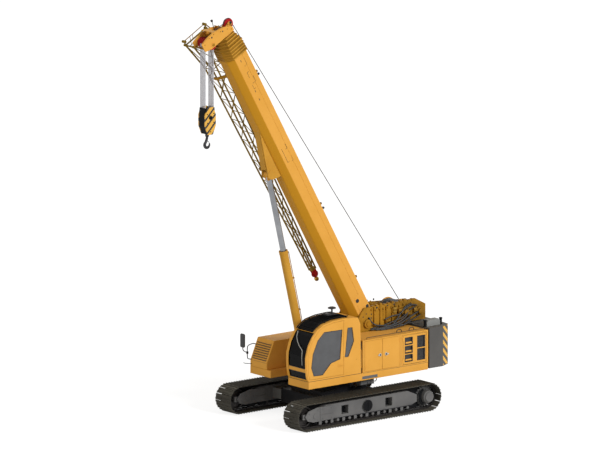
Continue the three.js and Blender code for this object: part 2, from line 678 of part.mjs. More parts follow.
function jibCorner(x, sideY, sideZ) {
  const share = Math.min(1, (x - JIB.tipX) / (JIB.flareX - JIB.tipX));
  const flare = Math.max(0, (x - JIB.flareX) / (JIB.footX - JIB.flareX));
  const half = JIB.halfTip + (JIB.halfFlare - JIB.halfTip) * share;
  const halfZ = half + (JIB.halfFootZ - half) * flare;
  const halfY = half + (JIB.halfFootY - half) * flare;
  return [x, JIB.middleY + sideY * halfY, JIB.footMiddleZ * share + sideZ * halfZ];
}

function jib() {
  const corners = [[1, 1], [1, -1], [-1, -1], [-1, 1]];
  const bays = 10;
  const stations = Array.from({ length: bays + 1 }, (_, i) => JIB.tipX + ((JIB.flareX - JIB.tipX) * i) / bays);
  const pieces = [];
  for (const [sy, sz] of corners) {
    pieces.push(bar(jibCorner(JIB.tipX, sy, sz), jibCorner(JIB.flareX, sy, sz), JIB.chord, 6));
    pieces.push(bar(jibCorner(JIB.flareX, sy, sz), jibCorner(JIB.footX, sy, sz), JIB.chord, 6));
    pieces.push(box(...[JIB.flareX - 30, JIB.flareX + 30], ...around(jibCorner(JIB.flareX, sy, sz), 32)));
  }
  corners.forEach(([sy, sz], face) => {
    const [ny, nz] = corners[(face + 1) % 4];
    stations.slice(0, -1).forEach((x, i) => {
      const from = (i + face) % 2 ? jibCorner(x, sy, sz) : jibCorner(x, ny, nz);
      const to = (i + face) % 2 ? jibCorner(stations[i + 1], ny, nz) : jibCorner(stations[i + 1], sy, sz);
      pieces.push(bar(from, to, JIB.lace, 4));
    });
    pieces.push(bar(jibCorner(JIB.footX - 20, sy, sz), jibCorner(JIB.footX - 20, ny, nz), JIB.lace + 8, 6));
  });
  const [, y, z] = jibCorner(JIB.tipX, 0, 0);
  pieces.push(box(JIB.tipX - 20, JIB.tipX + 20, y - JIB.halfTip - 20, y + JIB.halfTip + 20, z - 90, z + 90));
  return joined(...pieces);
}

function around([, y, z], half) {
  return [y - half, y + half, z - half, z + half];
}

function jibTip() {
  const y = JIB.middleY;
  const tip = JIB.tipX - 20 - SEAT_GAP;
  return joined(
    box(tip - 260, tip, y - 45, y + 45, -60, 60),
    turnedY([[0, -60], [110, -60], [110, 60], [0, 60]].map(([r, w]) => [r, y + w]), tip - 170, 0, 16),
  );
}

// A bracket from the boom's right side out to the jib's near chords.
function jibBracket(x) {
  const from = -BOOM_HALF_WIDTH + 5;
  const [, chordY, chordZ] = jibCorner(x, 1, -1);
  const low = chordZ - JIB.chord - 2;
  return alongX([
    [from, 30], [from, 270], [chordY + JIB.chord + 20, low], [chordY - 60, low], [chordY - 60, low - 60],
    [chordY + JIB.chord + 60, low - 60],
  ], x - 60, x + 60);
}

// ---------------------------------------------------------------- luffing cylinder, in a frame along it
// x runs from the foot pin towards the rod's eye.
const radians = (degrees) => (degrees * Math.PI) / 180;
const along = Math.cos(radians(BOOM_ANGLE));
const up = Math.sin(radians(BOOM_ANGLE));
const onBoom = ([s, t]) => [BOOM_PIVOT[0] + s * along - t * up, BOOM_PIVOT[1] + s * up + t * along];
const EYE = onBoom(CYLINDER_EYE);
const CYLINDER_SPAN = Math.hypot(EYE[0] - CYLINDER_FOOT[0], EYE[1] - CYLINDER_FOOT[1]);
const CYLINDER_ANGLE = Math.atan2(EYE[1] - CYLINDER_FOOT[1], EYE[0] - CYLINDER_FOOT[0]);

function barrel() {
  const tube = cut(
    bar([170, 0, 0], [BARREL_LENGTH, 0, 0], BARREL_RADIUS, 24),
    bar([230, 0, 0], [BARREL_LENGTH + 10, 0, 0], BARREL_BORE, 24),
  );
  const lug = box(0, 200, -90, 90, -110, 110);
  const pin = bar([0, -184, 0], [0, 184, 0], 110, 20);
  return joined(tube, lug, pin);
}

function rod() {
  const eye = bar([CYLINDER_SPAN, -96, 0], [CYLINDER_SPAN, 96, 0], 105, 20);
  return joined(bar([CYLINDER_SPAN - ROD_LENGTH, 0, 0], [CYLINDER_SPAN - 60, 0, 0], ROD_RADIUS, 20), eye);
}

// ---------------------------------------------------------------- hook block and hook
const [BLOCK_X] = onBoom(LOWER_SHEAVE);

function hookBlock() {
  const half = BLOCK_LENGTH / 2;
  const low = BLOCK_MIDDLE_Z - BLOCK_HEIGHT / 2;
  const high = low + BLOCK_HEIGHT;
  const plate = [
    [BLOCK_X - 90, low], [BLOCK_X + 90, low], [BLOCK_X + half, low + 260], [BLOCK_X + half, high - 220],
    [BLOCK_X + 110, high], [BLOCK_X - 110, high], [BLOCK_X - half, high - 220], [BLOCK_X - half, low + 260],
  ];
  const outer = BLOCK_WIDTH / 2;
  const plates = [1, -1].map((side) => alongY(plate, ...[side * (outer - 40), side * outer].sort((a, b) => a - b)));
  const sheaves = turnedY([[0, -outer + 60], [170, -outer + 60], [170, outer - 60], [0, outer - 60]], BLOCK_X, high - 300);
  const axle = bar([BLOCK_X, -outer + 5, high - 300], [BLOCK_X, outer - 5, high - 300], 45, 16);
  const crosshead = box(BLOCK_X - 80, BLOCK_X + 80, -outer + 10, outer - 10, low + 20, low + 150);
  return joined(...plates, sheaves, axle, crosshead);
}

function hook() {
  const top = BLOCK_MIDDLE_Z - BLOCK_HEIGHT / 2 + 20 - RUN_GAP;
  const thick = 34;
  const bowl = 92;
  const z = top - 330;
  const curve = new THREE.CatmullRomCurve3([
    [0, top], [0, top - 110], [22, top - 190], ...arc(0, z, bowl, 60, -200, 9),
  ].map(([x, h]) => new THREE.Vector3(BLOCK_X + x, 0, h)));
  const section = outline(arc(0, 0, thick, 0, 360 - 36, 9));
  const geometry = new THREE.ExtrudeGeometry(section, { extrudePath: curve, steps: 26, bevelEnabled: false });
  return joined(solid(geometry), bar([BLOCK_X, 0, top - 90], [BLOCK_X, 0, top], 62, 16));
}

// ---------------------------------------------------------------- the whole machine
place('carbody', carbody(), BLACK, machine);
place('slew_ring', bar([0, 0, CARBODY_TOP + SEAT_GAP], [0, 0, DECK_BOTTOM - RUN_GAP], RING_RADIUS, 32), BLACK, machine);
buildTrack(1, 'left');
buildTrack(-1, 'right');

const deck = new THREE.Group();
machine.add(deck);
place('centre_frame', centreFrame(), YELLOW, deck);
place('left_deck', tray(DECK_REAR, 1920, CENTRE_HALF_WIDTH + SEAT_GAP, DECK_HALF_WIDTH), YELLOW, deck);
place('right_deck', tray(DECK_REAR, HOOD_FRONT, -DECK_HALF_WIDTH, -CENTRE_HALF_WIDTH - SEAT_GAP), YELLOW, deck);
place('boom_support_left', boomSupport(1), YELLOW, deck);
place('boom_support_right', boomSupport(-1), YELLOW, deck);
place('winch_frame_back', box(-3299, -3275, -414, 414, COUNTERWEIGHT_TOP + 60, 2860), YELLOW, deck);
place('left_housing', leftHousing(), YELLOW, deck);
place('right_hood', rightHood(), YELLOW, deck);
place('engine', box(-2480, -1680, 640, 1240, DECK_TOP + SEAT_GAP, 2050), BLACK, deck);
place('counterweight', counterweight(), WEIGHT_GREY, deck);
place('control_box', box(-750, -250, 1000, 1200, 945, DECK_BOTTOM - SEAT_GAP), FRAME_GREY, deck);
place('mirror', mirror(), BLACK, deck);
place('main_winch', winch(MAIN_WINCH, 230, 310), BLACK, deck);
place('auxiliary_winch', winch(AUX_WINCH, 165, 215), BLACK, deck);

for (const [name, place4] of Object.entries(DOORS)) {
  const panel = sidePanel(place4, 1);
  const cuts = name === 'grille_door'
    ? [...louvres(-1990, -1740, 1460, 2230, 3), ...louvres(-2460, -2210, 1460, 2230, 2)]
    : [];
  place(name, cut(panel, ...cuts), YELLOW, deck);
}
place('hood_door', sidePanel(HOOD_DOOR, -1), YELLOW, deck);

const cab = new THREE.Group();
deck.add(cab);
place('cab_shell', cabShell(), YELLOW, cab);
place('cab_door', cabDoor(), YELLOW, cab);
place('door_glass', sidePane(DOOR_WINDOW, DECK_HALF_WIDTH - 22), TINTED_GLASS, cab);
place('rear_side_glass', sidePane(REAR_SIDE_WINDOW, DECK_HALF_WIDTH - 22), TINTED_GLASS, cab);
place('right_side_glass', sidePane(RIGHT_WINDOW, CAB_INNER_Y + 14), TINTED_GLASS, cab);
place('windscreen', screenPane(SCREEN.upper), TINTED_GLASS, cab);
place('lower_windscreen', screenPane(SCREEN.lower), TINTED_GLASS, cab);
place('back_glass', box(
  -18, -18 + GLASS, BACK_WINDOW.y0 + 1, BACK_WINDOW.y1 - 1, BACK_WINDOW.z0 + 1, BACK_WINDOW.z1 - 1,
), TINTED_GLASS, cab);
place('roof_guard', roofGuard(), BLACK, cab);
place('horn', horn(), BLACK, cab);
place('operator_seat', seat(), FABRIC, cab);
place('console', console(), BLACK, cab);

const boom = new THREE.Group();
boom.position.set(BOOM_PIVOT[0], 0, BOOM_PIVOT[1]);
boom.rotation.y = -radians(BOOM_ANGLE);
machine.add(boom);
place('boom_base', boomBase(), YELLOW, boom);
for (let i = 1; i < SECTION_COUNT - 1; i++) place(`boom_section_${i + 1}`, boomSection(i), YELLOW, boom);
place('boom_head', boomHead(), YELLOW, boom);
place('head_sheaves', sheaveSet(LOWER_SHEAVE, SHEAVE_RADIUS, BOOM_HALF_WIDTH - 145, 5), RED, boom);
place('top_sheave', sheaveSet(UPPER_SHEAVE, SHEAVE_RADIUS, 45, 1), RED, boom);
place('jib_lattice', jib(), YELLOW, boom);
place('jib_tip', jibTip(), RED, boom);

const cylinder = new THREE.Group();
cylinder.position.set(CYLINDER_FOOT[0], 0, CYLINDER_FOOT[1]);
cylinder.rotation.y = -CYLINDER_ANGLE;
machine.add(cylinder);
place('cylinder_barrel', barrel(), YELLOW, cylinder);
place('cylinder_rod', rod(), CHROME, cylinder);

place('hook_block', hookBlock(), BLACK, machine);
place('hook', hook(), BLACK, machine);

// the origin goes under the middle of the machine's length
machine.updateMatrixWorld(true);
const whole = new THREE.Box3().setFromObject(machine, true);
const slewAxisX = -(whole.min.x + whole.max.x) / 2;
const middleY = (whole.min.y + whole.max.y) / 2;
machine.position.set(slewAxisX, -middleY, -whole.min.z);

export default machine;
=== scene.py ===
"""Tracked crane with a telescopic boom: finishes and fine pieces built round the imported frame.

Metres. x runs forward, y to the machine's left and z up. Deck pieces are placed from the slewing axis,
boom pieces from the boom's foot pivot, and cylinder pieces from the eye at the rod's end.
"""
import bmesh
import bpy
import json
import math
from mathutils import Matrix, Vector

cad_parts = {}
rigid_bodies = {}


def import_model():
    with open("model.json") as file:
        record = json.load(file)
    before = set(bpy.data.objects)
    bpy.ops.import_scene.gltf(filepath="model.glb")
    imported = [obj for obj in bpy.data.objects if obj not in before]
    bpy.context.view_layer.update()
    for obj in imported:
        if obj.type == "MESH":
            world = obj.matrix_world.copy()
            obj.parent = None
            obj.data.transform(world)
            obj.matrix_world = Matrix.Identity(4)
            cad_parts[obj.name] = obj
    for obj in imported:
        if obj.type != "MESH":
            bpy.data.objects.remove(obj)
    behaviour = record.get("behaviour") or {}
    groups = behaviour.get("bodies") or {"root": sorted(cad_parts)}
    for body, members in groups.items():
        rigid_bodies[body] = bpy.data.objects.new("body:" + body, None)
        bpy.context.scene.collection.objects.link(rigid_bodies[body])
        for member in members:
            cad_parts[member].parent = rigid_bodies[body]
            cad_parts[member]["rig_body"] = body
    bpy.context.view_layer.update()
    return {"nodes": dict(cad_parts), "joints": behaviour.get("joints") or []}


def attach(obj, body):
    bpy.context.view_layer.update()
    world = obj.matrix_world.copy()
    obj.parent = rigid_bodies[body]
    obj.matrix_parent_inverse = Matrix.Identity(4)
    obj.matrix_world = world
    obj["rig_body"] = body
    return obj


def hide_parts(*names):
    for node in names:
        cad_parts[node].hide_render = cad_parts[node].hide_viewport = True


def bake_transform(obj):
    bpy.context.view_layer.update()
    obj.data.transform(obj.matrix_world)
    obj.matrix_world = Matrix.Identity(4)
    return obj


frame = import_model()

# ------------------------------------------------------------------ frames that pieces are placed in
JOINTS = {joint["name"]: joint for joint in frame["joints"]}
SLEW = Vector(JOINTS["slew"]["pos_m"])
PIVOT = Vector(JOINTS["luff"]["pos_m"])
ALONG = Vector(JOINTS["telescope"]["axis"]).normalized()
SQUARE = Vector((-ALONG.z, 0, ALONG.x))
EYE = Vector(JOINTS["cylinder_rod_swing"]["pos_m"])
TO_FOOT = Vector(JOINTS["cylinder_stroke"]["axis"]).normalized()


def machine(x, y, z):
    """x forward of the slewing axis, y to the left, z over the ground."""
    return Vector((SLEW.x + x, y, z))


def on_boom(x, y, z):
    """x along the boom from its foot pivot, z square to it and upwards."""
    return PIVOT + ALONG * x + SQUARE * z + Vector((0, y, 0))


def on_cylinder(x, y, z):
    """x along the luffing cylinder from the rod's eye towards its foot, z on its upper side."""
    return EYE + TO_FOOT * x + Vector((TO_FOOT.z, 0, -TO_FOOT.x)) * z + Vector((0, y, 0))


def extent(node, place):
    """The lowest and highest coordinates of a CAD node in one of the frames above."""
    origin = place(0, 0, 0)
    axes = [place(*[float(i == k) for i in range(3)]) - origin for k in range(3)]
    rows = [[(v.co - origin).dot(axis) for axis in axes] for v in frame["nodes"][node].data.vertices]
    return (Vector([min(r[k] for r in rows) for k in range(3)]),
            Vector([max(r[k] for r in rows) for k in range(3)]))


# ------------------------------------------------------------------ materials
def linear(hex_colour, alpha=1.0):
    """An sRGB hex colour as the linear values that Blender's sockets take."""
    parts = [int(hex_colour[i:i + 2], 16) / 255 for i in (1, 3, 5)]
    return (*[c / 12.92 if c <= 0.04045 else ((c + 0.055) / 1.055) ** 2.4 for c in parts], alpha)


def add(tree, kind, inputs=None, **settings):
    """Adds a node with its settings; inputs maps a socket to a value or to another node's socket."""
    made = tree.nodes.new(kind)
    for name, value in settings.items():
        setattr(made, name, value)
    for socket, value in (inputs or {}).items():
        if isinstance(value, bpy.types.NodeSocket):
            tree.links.new(value, made.inputs[socket])
        else:
            made.inputs[socket].default_value = value
    return made


def blank(name, slot):
    made = bpy.data.materials.new(name)
    made.use_nodes = True
    made["slot"] = slot
    tree = made.node_tree
    tree.nodes.clear()
    shader = add(tree, "ShaderNodeBsdfPrincipled")
    add(tree, "ShaderNodeOutputMaterial", {"Surface": shader.outputs[0]})
    return made, tree, shader


def noise(tree, size, detail=3.0, roughness=0.55):
    """Noise whose patches measure about size metres."""
    place = add(tree, "ShaderNodeTexCoord").outputs["Object"]
    made = add(tree, "ShaderNodeTexNoise", {
        "Vector": place, "Scale": 1 / size, "Detail": detail, "Roughness": roughness})
    return made.outputs["Fac"]


def ramp(tree, source, low, high, start=0.0, end=1.0):
    """A clamped straight ramp from start to end while the source goes from low to high."""
    return add(tree, "ShaderNodeMapRange", {0: source, 1: low, 2: high, 3: start, 4: end}).outputs[0]


def math_of(tree, operation, *values):
    return add(tree, "ShaderNodeMath", dict(enumerate(values)), operation=operation).outputs[0]


def mixed(tree, factor, first, second):
    """A colour mix; first and second are colours or sockets."""
    return add(tree, "ShaderNodeMix", {0: factor, 6: first, 7: second}, data_type="RGBA").outputs[2]


def bump(tree, shader, height, depth):
    made = add(tree, "ShaderNodeBump", {"Height": height, "Distance": depth, "Strength": 1.0})
    tree.links.new(made.outputs[0], shader.inputs["Normal"])


def height_of(tree, sign=1.0):
    """How far a face looks up, or down where sign is -1."""
    normal = add(tree, "ShaderNodeNewGeometry").outputs["Normal"]
    height = add(tree, "ShaderNodeSeparateXYZ", {0: normal}).outputs["Z"]
    return math_of(tree, "MULTIPLY", height, sign)


def upward(tree):
    """1 on faces that look up, 0 on walls and undersides."""
    return ramp(tree, height_of(tree), 0.35, 0.95)


def coated(name, slot, colour, shade, roughness, dust="#8a7a5e", dust_share=0.25, chips=None,
           orange_peel=0.0002, gloss=0.06, painted_underside_shade=None):
    """Sprayed enamel: a slow change of tone, orange peel, dust lying on top faces and rubbed spots, and,
    where a shade colour is given, painted shade on faces that look down.
    """
    made, tree, shader = blank(name, slot)
    tone = mixed(tree, ramp(tree, noise(tree, 0.9), 0.35, 0.7), linear(colour), linear(shade))
    fine = noise(tree, 0.06, 5.0, 0.65)
    if painted_underside_shade:
        # painted shade: a deeper tone on faces that look down, standing in for the shade that falls on them
        tone = mixed(tree, ramp(tree, height_of(tree, -1.0), 0.12, 0.3), tone, linear(painted_underside_shade))
    if chips:
        # rubbed to primer in spots of a few centimetres, where two patterns both peak
        spots = math_of(tree, "MULTIPLY", ramp(tree, noise(tree, 0.035, 4.0), 0.68, 0.74),
                        ramp(tree, noise(tree, 0.7), 0.5, 0.62))
        tone = mixed(tree, spots, tone, linear(chips))
    lying = math_of(tree, "MULTIPLY", upward(tree), ramp(tree, fine, 0.3, 0.75, 0.0, dust_share))
    tone = mixed(tree, lying, tone, linear(dust))
    tree.links.new(tone, shader.inputs["Base Color"])
    tree.links.new(ramp(tree, fine, 0.3, 0.7, roughness - 0.05, roughness + 0.09),
                   shader.inputs["Roughness"])
    shader.inputs["Specular IOR Level"].default_value = gloss
    bump(tree, shader, noise(tree, 0.02, 2.0), orange_peel)
    return made


def metal(name, slot, colour, shade, roughness, grain=0.05, depth=0.0004, metallic=1.0):
    """Bare or blackened metal with a change of tone across its grain."""
    made, tree, shader = blank(name, slot)
    worn = noise(tree, grain, 5.0, 0.6)
    tree.links.new(mixed(tree, ramp(tree, worn, 0.35, 0.65), linear(colour), linear(shade)),
                   shader.inputs["Base Color"])
    tree.links.new(ramp(tree, worn, 0.3, 0.7, roughness - 0.06, roughness + 0.1),
                   shader.inputs["Roughness"])
    shader.inputs["Metallic"].default_value = metallic
    bump(tree, shader, worn, depth)
    return made


def moulded(name, slot, colour, shade, roughness, grain=0.006, depth=0.0003):
    """Rubber or plastic with a fine moulded grain."""
    made, tree, shader = blank(name, slot)
    fine = noise(tree, grain, 2.0)
    tree.links.new(mixed(tree, noise(tree, 0.3), linear(colour), linear(shade)),
                   shader.inputs["Base Color"])
    tree.links.new(ramp(tree, fine, 0.3, 0.7, roughness - 0.05, roughness + 0.08),
                   shader.inputs["Roughness"])
    bump(tree, shader, fine, depth)
    return made


def glazed(name, colour, shade, alpha):
    """Tinted safety glass, with a faint film of dust."""
    made, tree, shader = blank(name, "tinted_glass")
    film = noise(tree, 0.5, 4.0)
    tree.links.new(mixed(tree, ramp(tree, film, 0.4, 0.7), linear(colour), linear(shade)),
                   shader.inputs["Base Color"])
    tree.links.new(ramp(tree, film, 0.3, 0.7, 0.04, 0.12), shader.inputs["Roughness"])
    shader.inputs["Alpha"].default_value = alpha
    shader.inputs["Specular IOR Level"].default_value = 0.06
    return made


def striped(name, slot, first, second, direction, width, share_of_first=0.5):
    """Two-colour bands across a direction; a pair takes 2 x width metres, share_of_first of it the first."""
    made, tree, shader = blank(name, slot)
    place = add(tree, "ShaderNodeTexCoord").outputs["Object"]
    across = add(tree, "ShaderNodeVectorMath", {0: place, 1: direction},
                 operation="DOT_PRODUCT").outputs["Value"]
    share = math_of(tree, "FRACT", math_of(tree, "MULTIPLY", across, 0.5 / width))
    band = math_of(tree, "GREATER_THAN", share, share_of_first)
    dirt = ramp(tree, noise(tree, 0.08, 4.0), 0.4, 0.75, 0.0, 0.12)
    tone = mixed(tree, dirt, mixed(tree, band, linear(first), linear(second)), linear("#6d6146"))
    tree.links.new(tone, shader.inputs["Base Color"])
    tree.links.new(ramp(tree, noise(tree, 0.05), 0.3, 0.7, 0.38, 0.5), shader.inputs["Roughness"])
    return made


def stranded(name, colour, shade, direction, lay):
    """Steel wire rope: strands that wind round it once in a lay length of lay metres."""
    made, tree, shader = blank(name, "dark_steel")
    place = add(tree, "ShaderNodeTexCoord").outputs["Object"]
    run = add(tree, "ShaderNodeVectorMath", {0: place, 1: direction},
              operation="DOT_PRODUCT").outputs["Value"]
    wave = math_of(tree, "PINGPONG", math_of(tree, "MULTIPLY", run, 6 / lay), 0.5)
    tree.links.new(mixed(tree, wave, linear(shade), linear(colour)), shader.inputs["Base Color"])
    shader.inputs["Metallic"].default_value = 0.6
    shader.inputs["Roughness"].default_value = 0.45
    bump(tree, shader, wave, 0.001)
    return made


# Machine enamel, sprayed over primer: warm yellow, satin, with a little dust on what lies flat and a deeper
# gold on its undersides as painted shade.
YELLOW = coated("machine_yellow_enamel", "painted_yellow", "#dea34a", "#d79c42", 0.42, dust="#b08a4e",
                chips="#8d6a2c", painted_underside_shade="#c98f24")
# The same enamel, darker: oiled and handled, and darkened further as painted shade, inside the winch frame
# and on collars, brackets and fittings.
OILED_AND_SHADED_YELLOW = coated("oiled_and_shaded_enamel", "painted_yellow", "#ab7c26", "#6b4e1a", 0.4, dust="#372c19",
                      dust_share=0.55, chips="#3f3218")
# The jib's duller coat, olive: painted shade on the stowed lattice.
SHADED_JIB_YELLOW = coated("shade_darkened_jib_enamel", "painted_yellow", "#9a7f36", "#77622a", 0.55, dust_share=0.1)
# The collars' raised ribs: a mid yellow, lighter than the collar as painted highlight, and darker on faces
# that look down as painted shade.
RIB_HIGHLIGHT_YELLOW = coated("rib_highlight_enamel", "painted_yellow", "#cf9a3e", "#a87a2c", 0.4, dust_share=0.1,
                    painted_underside_shade="#9c701f")
# The barrel's coat, also used on the luffing saddle, darkened as painted shade.
SHADED_BARREL_YELLOW = coated("shade_darkened_barrel_enamel", "painted_yellow", "#c8963c", "#bb8832", 0.36,
                       dust_share=0.1)
# Chassis enamel: neutral dark grey.
GREY = coated("chassis_grey_enamel", "painted_grey", "#6c6c6c", "#5c5c5d", 0.5, dust="#6d675c",
              chips="#444343")
# Ballast enamel: flat mid grey over cast slabs.
BALLAST = coated("ballast_grey_enamel", "painted_ballast", "#5e5d5c", "#565554", 0.6, orange_peel=0.0006)
# The caps take a lighter grey than the ballast: painted light on its top.
LIT_BALLAST_CAP = coated("ballast_cap_enamel", "painted_ballast", "#8a8c8b", "#7e807f", 0.6, orange_peel=0.0006)
# Satin black enamel on the carbody and the collars of its cross tubes.
BLACK = coated("satin_black_enamel", "painted_black", "#232326", "#1b1b1d", 0.45, dust="#5a5348",
               dust_share=0.35)
# Powder coat on guards, block and posts: deep black, no dust holds on it. It also colours black sheets that
# are painted shade inside the tracks and beneath the roof guard's slats.
DEEP_BLACK = coated("black_powder_coat", "painted_black", "#18191b", "#101113", 0.5, dust_share=0.0)
# Red enamel on sheaves.
RED = coated("sheave_red_enamel", "painted_red", "#b8262b", "#8f1d22", 0.38, dust_share=0.1)
# Track shoes: rolled steel, dark scale, packed with dry earth on what lies flat.
SHOE = coated("track_shoe_steel", "track_steel", "#4b4943", "#3c3a36", 0.5, dust="#7d786b", dust_share=0.6,
              chips="#5b564f", orange_peel=0.001)
LINK = metal("forged_link_steel", "track_steel", "#3b3836", "#232122", 0.45, metallic=0.7)
DARK_STEEL = metal("blackened_steel", "dark_steel", "#3d3d40", "#29292c", 0.42, metallic=0.8)
# Hard chrome on the rod: mirror bright with a film of oil.
CHROME = metal("hard_chrome", "chrome_rod", "#97999c", "#85878b", 0.22, grain=0.4, depth=0.0)
ZINC = metal("zinc_plate", "dark_steel", "#c9c8c2", "#aeada6", 0.35, grain=0.02)
BRASS = metal("brass_fitting", "dark_steel", "#b08a3e", "#8a6a2c", 0.35, grain=0.02)
RUBBER = moulded("black_hose_rubber", "black_plastic", "#1a1a1b", "#242424", 0.55)
PLASTIC = moulded("moulded_black_plastic", "black_plastic", "#1c1c1e", "#262628", 0.5)
SEAL = moulded("window_seal_rubber", "black_plastic", "#141415", "#1c1c1d", 0.6)
CLOTH = moulded("woven_seat_cloth", "seat_cloth", "#3d3e42", "#2b2c2f", 0.85, grain=0.004, depth=0.001)
# One tinted glass in two tones: the side panes mid grey, the windscreen near black, partly its tint and
# partly painted shade of the dark cab behind it.
SIDE_GLASS = glazed("tinted_side_glass", "#646669", "#5c5d60", 0.88)
SHADED_SCREEN_GLASS = glazed("tinted_and_shaded_windscreen", "#060607", "#0a0a0b", 0.93)
LAMP_RED = moulded("red_lamp_lens", "painted_red", "#a01418", "#7c0f12", 0.2)
# Diagonal warning bands, about 80 mm wide on the block and 75 mm on the ballast.
BLOCK_BANDS = striped("block_warning_bands", "painted_black", "#17171a", "#deaa40",
                      (0.7, 0, 0.7), 0.082, share_of_first=0.36)
BALLAST_BANDS = striped("ballast_warning_bands", "painted_ballast", "#2a2a2a", "#e2ab2c",
                        (-0.35, -0.35, 0.62), 0.074)
FALL_ROPE = stranded("falls_wire_rope", "#c2c2c8", "#a9a9b0", (0, 0, 1), 0.12)
HOIST_ROPE = stranded("hoist_wire_rope", "#4e4e50", "#303032", tuple(ALONG), 0.12)


# ------------------------------------------------------------------ mesh tools
# Where the two coordinates of an outline and the one it is drawn out along go.
PLANES = {"xz": lambda a, b, c: (a, c, b),
          "xy": lambda a, b, c: (a, b, c),
          "yz": lambda a, b, c: (c, a, b)}
# The same for a circle and the axis through its centre.
AXES = {"x": PLANES["yz"], "y": PLANES["xz"], "z": PLANES["xy"]}


def full_turn(count, offset=0.0):
    """Evenly spaced angles round a circle, the first one offset spaces on."""
    return [2 * math.pi * (i + offset) / count for i in range(count)]


def handed(profile, side):
    """A turned profile as it stands, or mirrored along its axis where side is negative."""
    return profile if side > 0 else [(radius, -at) for radius, at in reversed(profile)]


def mirrored(half):
    """A turned profile that is the same both ways along its axis, from its positive half."""
    return handed(half, -1) + half


def oblong(x0, x1, z0, z1, grow=0.0, rise=None):
    """The corners of a rectangle, grown by grow in its first coordinate and by rise in its second."""
    rise = grow if rise is None else rise
    return [(x0 - grow, z0 - rise), (x1 + grow, z0 - rise), (x1 + grow, z1 + rise), (x0 - grow, z1 + rise)]


class Shape:
    """One piece's mesh, built up from closed solids in one of the frames above."""

    def __init__(self, place=machine):
        self.mesh = bmesh.new()
        self.place = place

    def ring(self, rows):
        return [self.mesh.verts.new(self.place(*row)) for row in rows]

    def skin(self, rings, closed=False):
        """Faces between rings of equal length, capped at both ends unless the rings close on themselves."""
        pairs = list(zip(rings, rings[1:])) + ([(rings[-1], rings[0])] if closed else [])
        for first, second in pairs:
            for i in range(len(first)):
                k = (i + 1) % len(first)
                self.mesh.faces.new((first[i], first[k], second[k], second[i]))
        if not closed:
            self.mesh.faces.new(rings[0][::-1])
            self.mesh.faces.new(rings[-1])
        return self

    def block(self, x, y, z):
        return self.prism(oblong(*x, *z), *y)

    def prism(self, outline, low, high, plane="xz"):
        """An outline in a plane, drawn out along the third axis from low to high."""
        return self.skin([self.ring([PLANES[plane](a, b, c) for a, b in outline]) for c in (low, high)])

    def frame(self, outer, inner, low, high, plane="xz"):
        """A prism with a hole; both outlines have as many points."""
        rows = [(outer, low), (outer, high), (inner, high), (inner, low)]
        return self.skin([self.ring([PLANES[plane](a, b, c) for a, b in line]) for line, c in rows],
                         closed=True)

    def tube(self, path, radius, sides=8, closed=False):
        """A round bar along a path; radius is one number, or one for each point."""
        points = [Vector(p) for p in path]
        radii = radius if isinstance(radius, (list, tuple)) else [radius] * len(points)
        count = len(points)
        rings = []
        side = None
        for i, point in enumerate(points):
            after = points[(i + 1) % count] if closed or i + 1 < count else point
            before = points[i - 1] if closed or i else point
            run = (after - before).normalized()
            if side is None:
                side = run.cross(Vector((0, 0, 1)) if abs(run.z) < 0.9 else Vector((0, 1, 0))).normalized()
            side = (side - run * side.dot(run)).normalized()
            up = run.cross(side)
            rings.append(self.ring([
                point + (side * math.cos(a) + up * math.sin(a)) * radii[i] for a in full_turn(sides)]))
        return self.skin(rings, closed)

    def turned(self, profile, centre, axis="y", sides=32):
        """A turned solid; profile rows are (radius, place along the axis from centre)."""
        rings = []
        for radius, offset in profile:
            radius = max(radius, 1e-4)
            rings.append(self.ring([
                Vector(centre) + Vector(AXES[axis](radius * math.cos(a), radius * math.sin(a), offset))
                for a in full_turn(sides)]))
        return self.skin(rings)

    def bolt(self, centre, axis="y", radius=0.018, height=0.014):
        profile = [(radius, -0.002), (radius, height * 0.8), (radius * 0.8, height)]
        return self.turned(profile, centre, axis, 6)

    def done(self, name, material, body, bevel=0.0, replaces=(), smooth=38):
        """Rounds the edges, and makes an object that rides on a body."""
        bmesh.ops.recalc_face_normals(self.mesh, faces=self.mesh.faces)
        if bevel:
            sharp = [e for e in self.mesh.edges
                     if len(e.link_faces) == 2 and e.calc_face_angle() > math.radians(50)]
            bmesh.ops.bevel(self.mesh, geom=sharp, offset=bevel, segments=2, profile=0.6, affect="EDGES",
                            clamp_overlap=True)
        data = bpy.data.meshes.new(name)
        self.mesh.to_mesh(data)
        self.mesh.free()
        data.polygons.foreach_set("use_smooth", [True] * len(data.polygons))
        data.set_sharp_from_angle(angle=math.radians(smooth))
        piece = bpy.data.objects.new(name, data)
        bpy.context.scene.collection.objects.link(piece)
        data.materials.append(material)
        if bevel:
            piece.modifiers.new("even_shading", "WEIGHTED_NORMAL").keep_sharp = True
        if body:
            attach(piece, body)
        if replaces:
            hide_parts(*replaces)
        return piece


def refined(node, material, bevel=0.006):
    """A CAD node again, with its edges rounded as on pressed, rolled or welded plate."""
    shape = Shape()
    shape.mesh.from_mesh(frame["nodes"][node].data)
    bmesh.ops.remove_doubles(shape.mesh, verts=shape.mesh.verts, dist=1e-4)
    bmesh.ops.dissolve_limit(
        shape.mesh, angle_limit=math.radians(1), verts=shape.mesh.verts, edges=shape.mesh.edges)
    return shape.done(f"{node}_finished", material, frame["nodes"][node]["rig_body"], bevel,
                      replaces=(node,))


def arc(x, z, radius, start, end, steps):
    """Points on an arc, angles in degrees."""
    turns = [math.radians(start + (end - start) * i / steps) for i in range(steps + 1)]
    return [(x + radius * math.cos(a), z + radius * math.sin(a)) for a in turns]


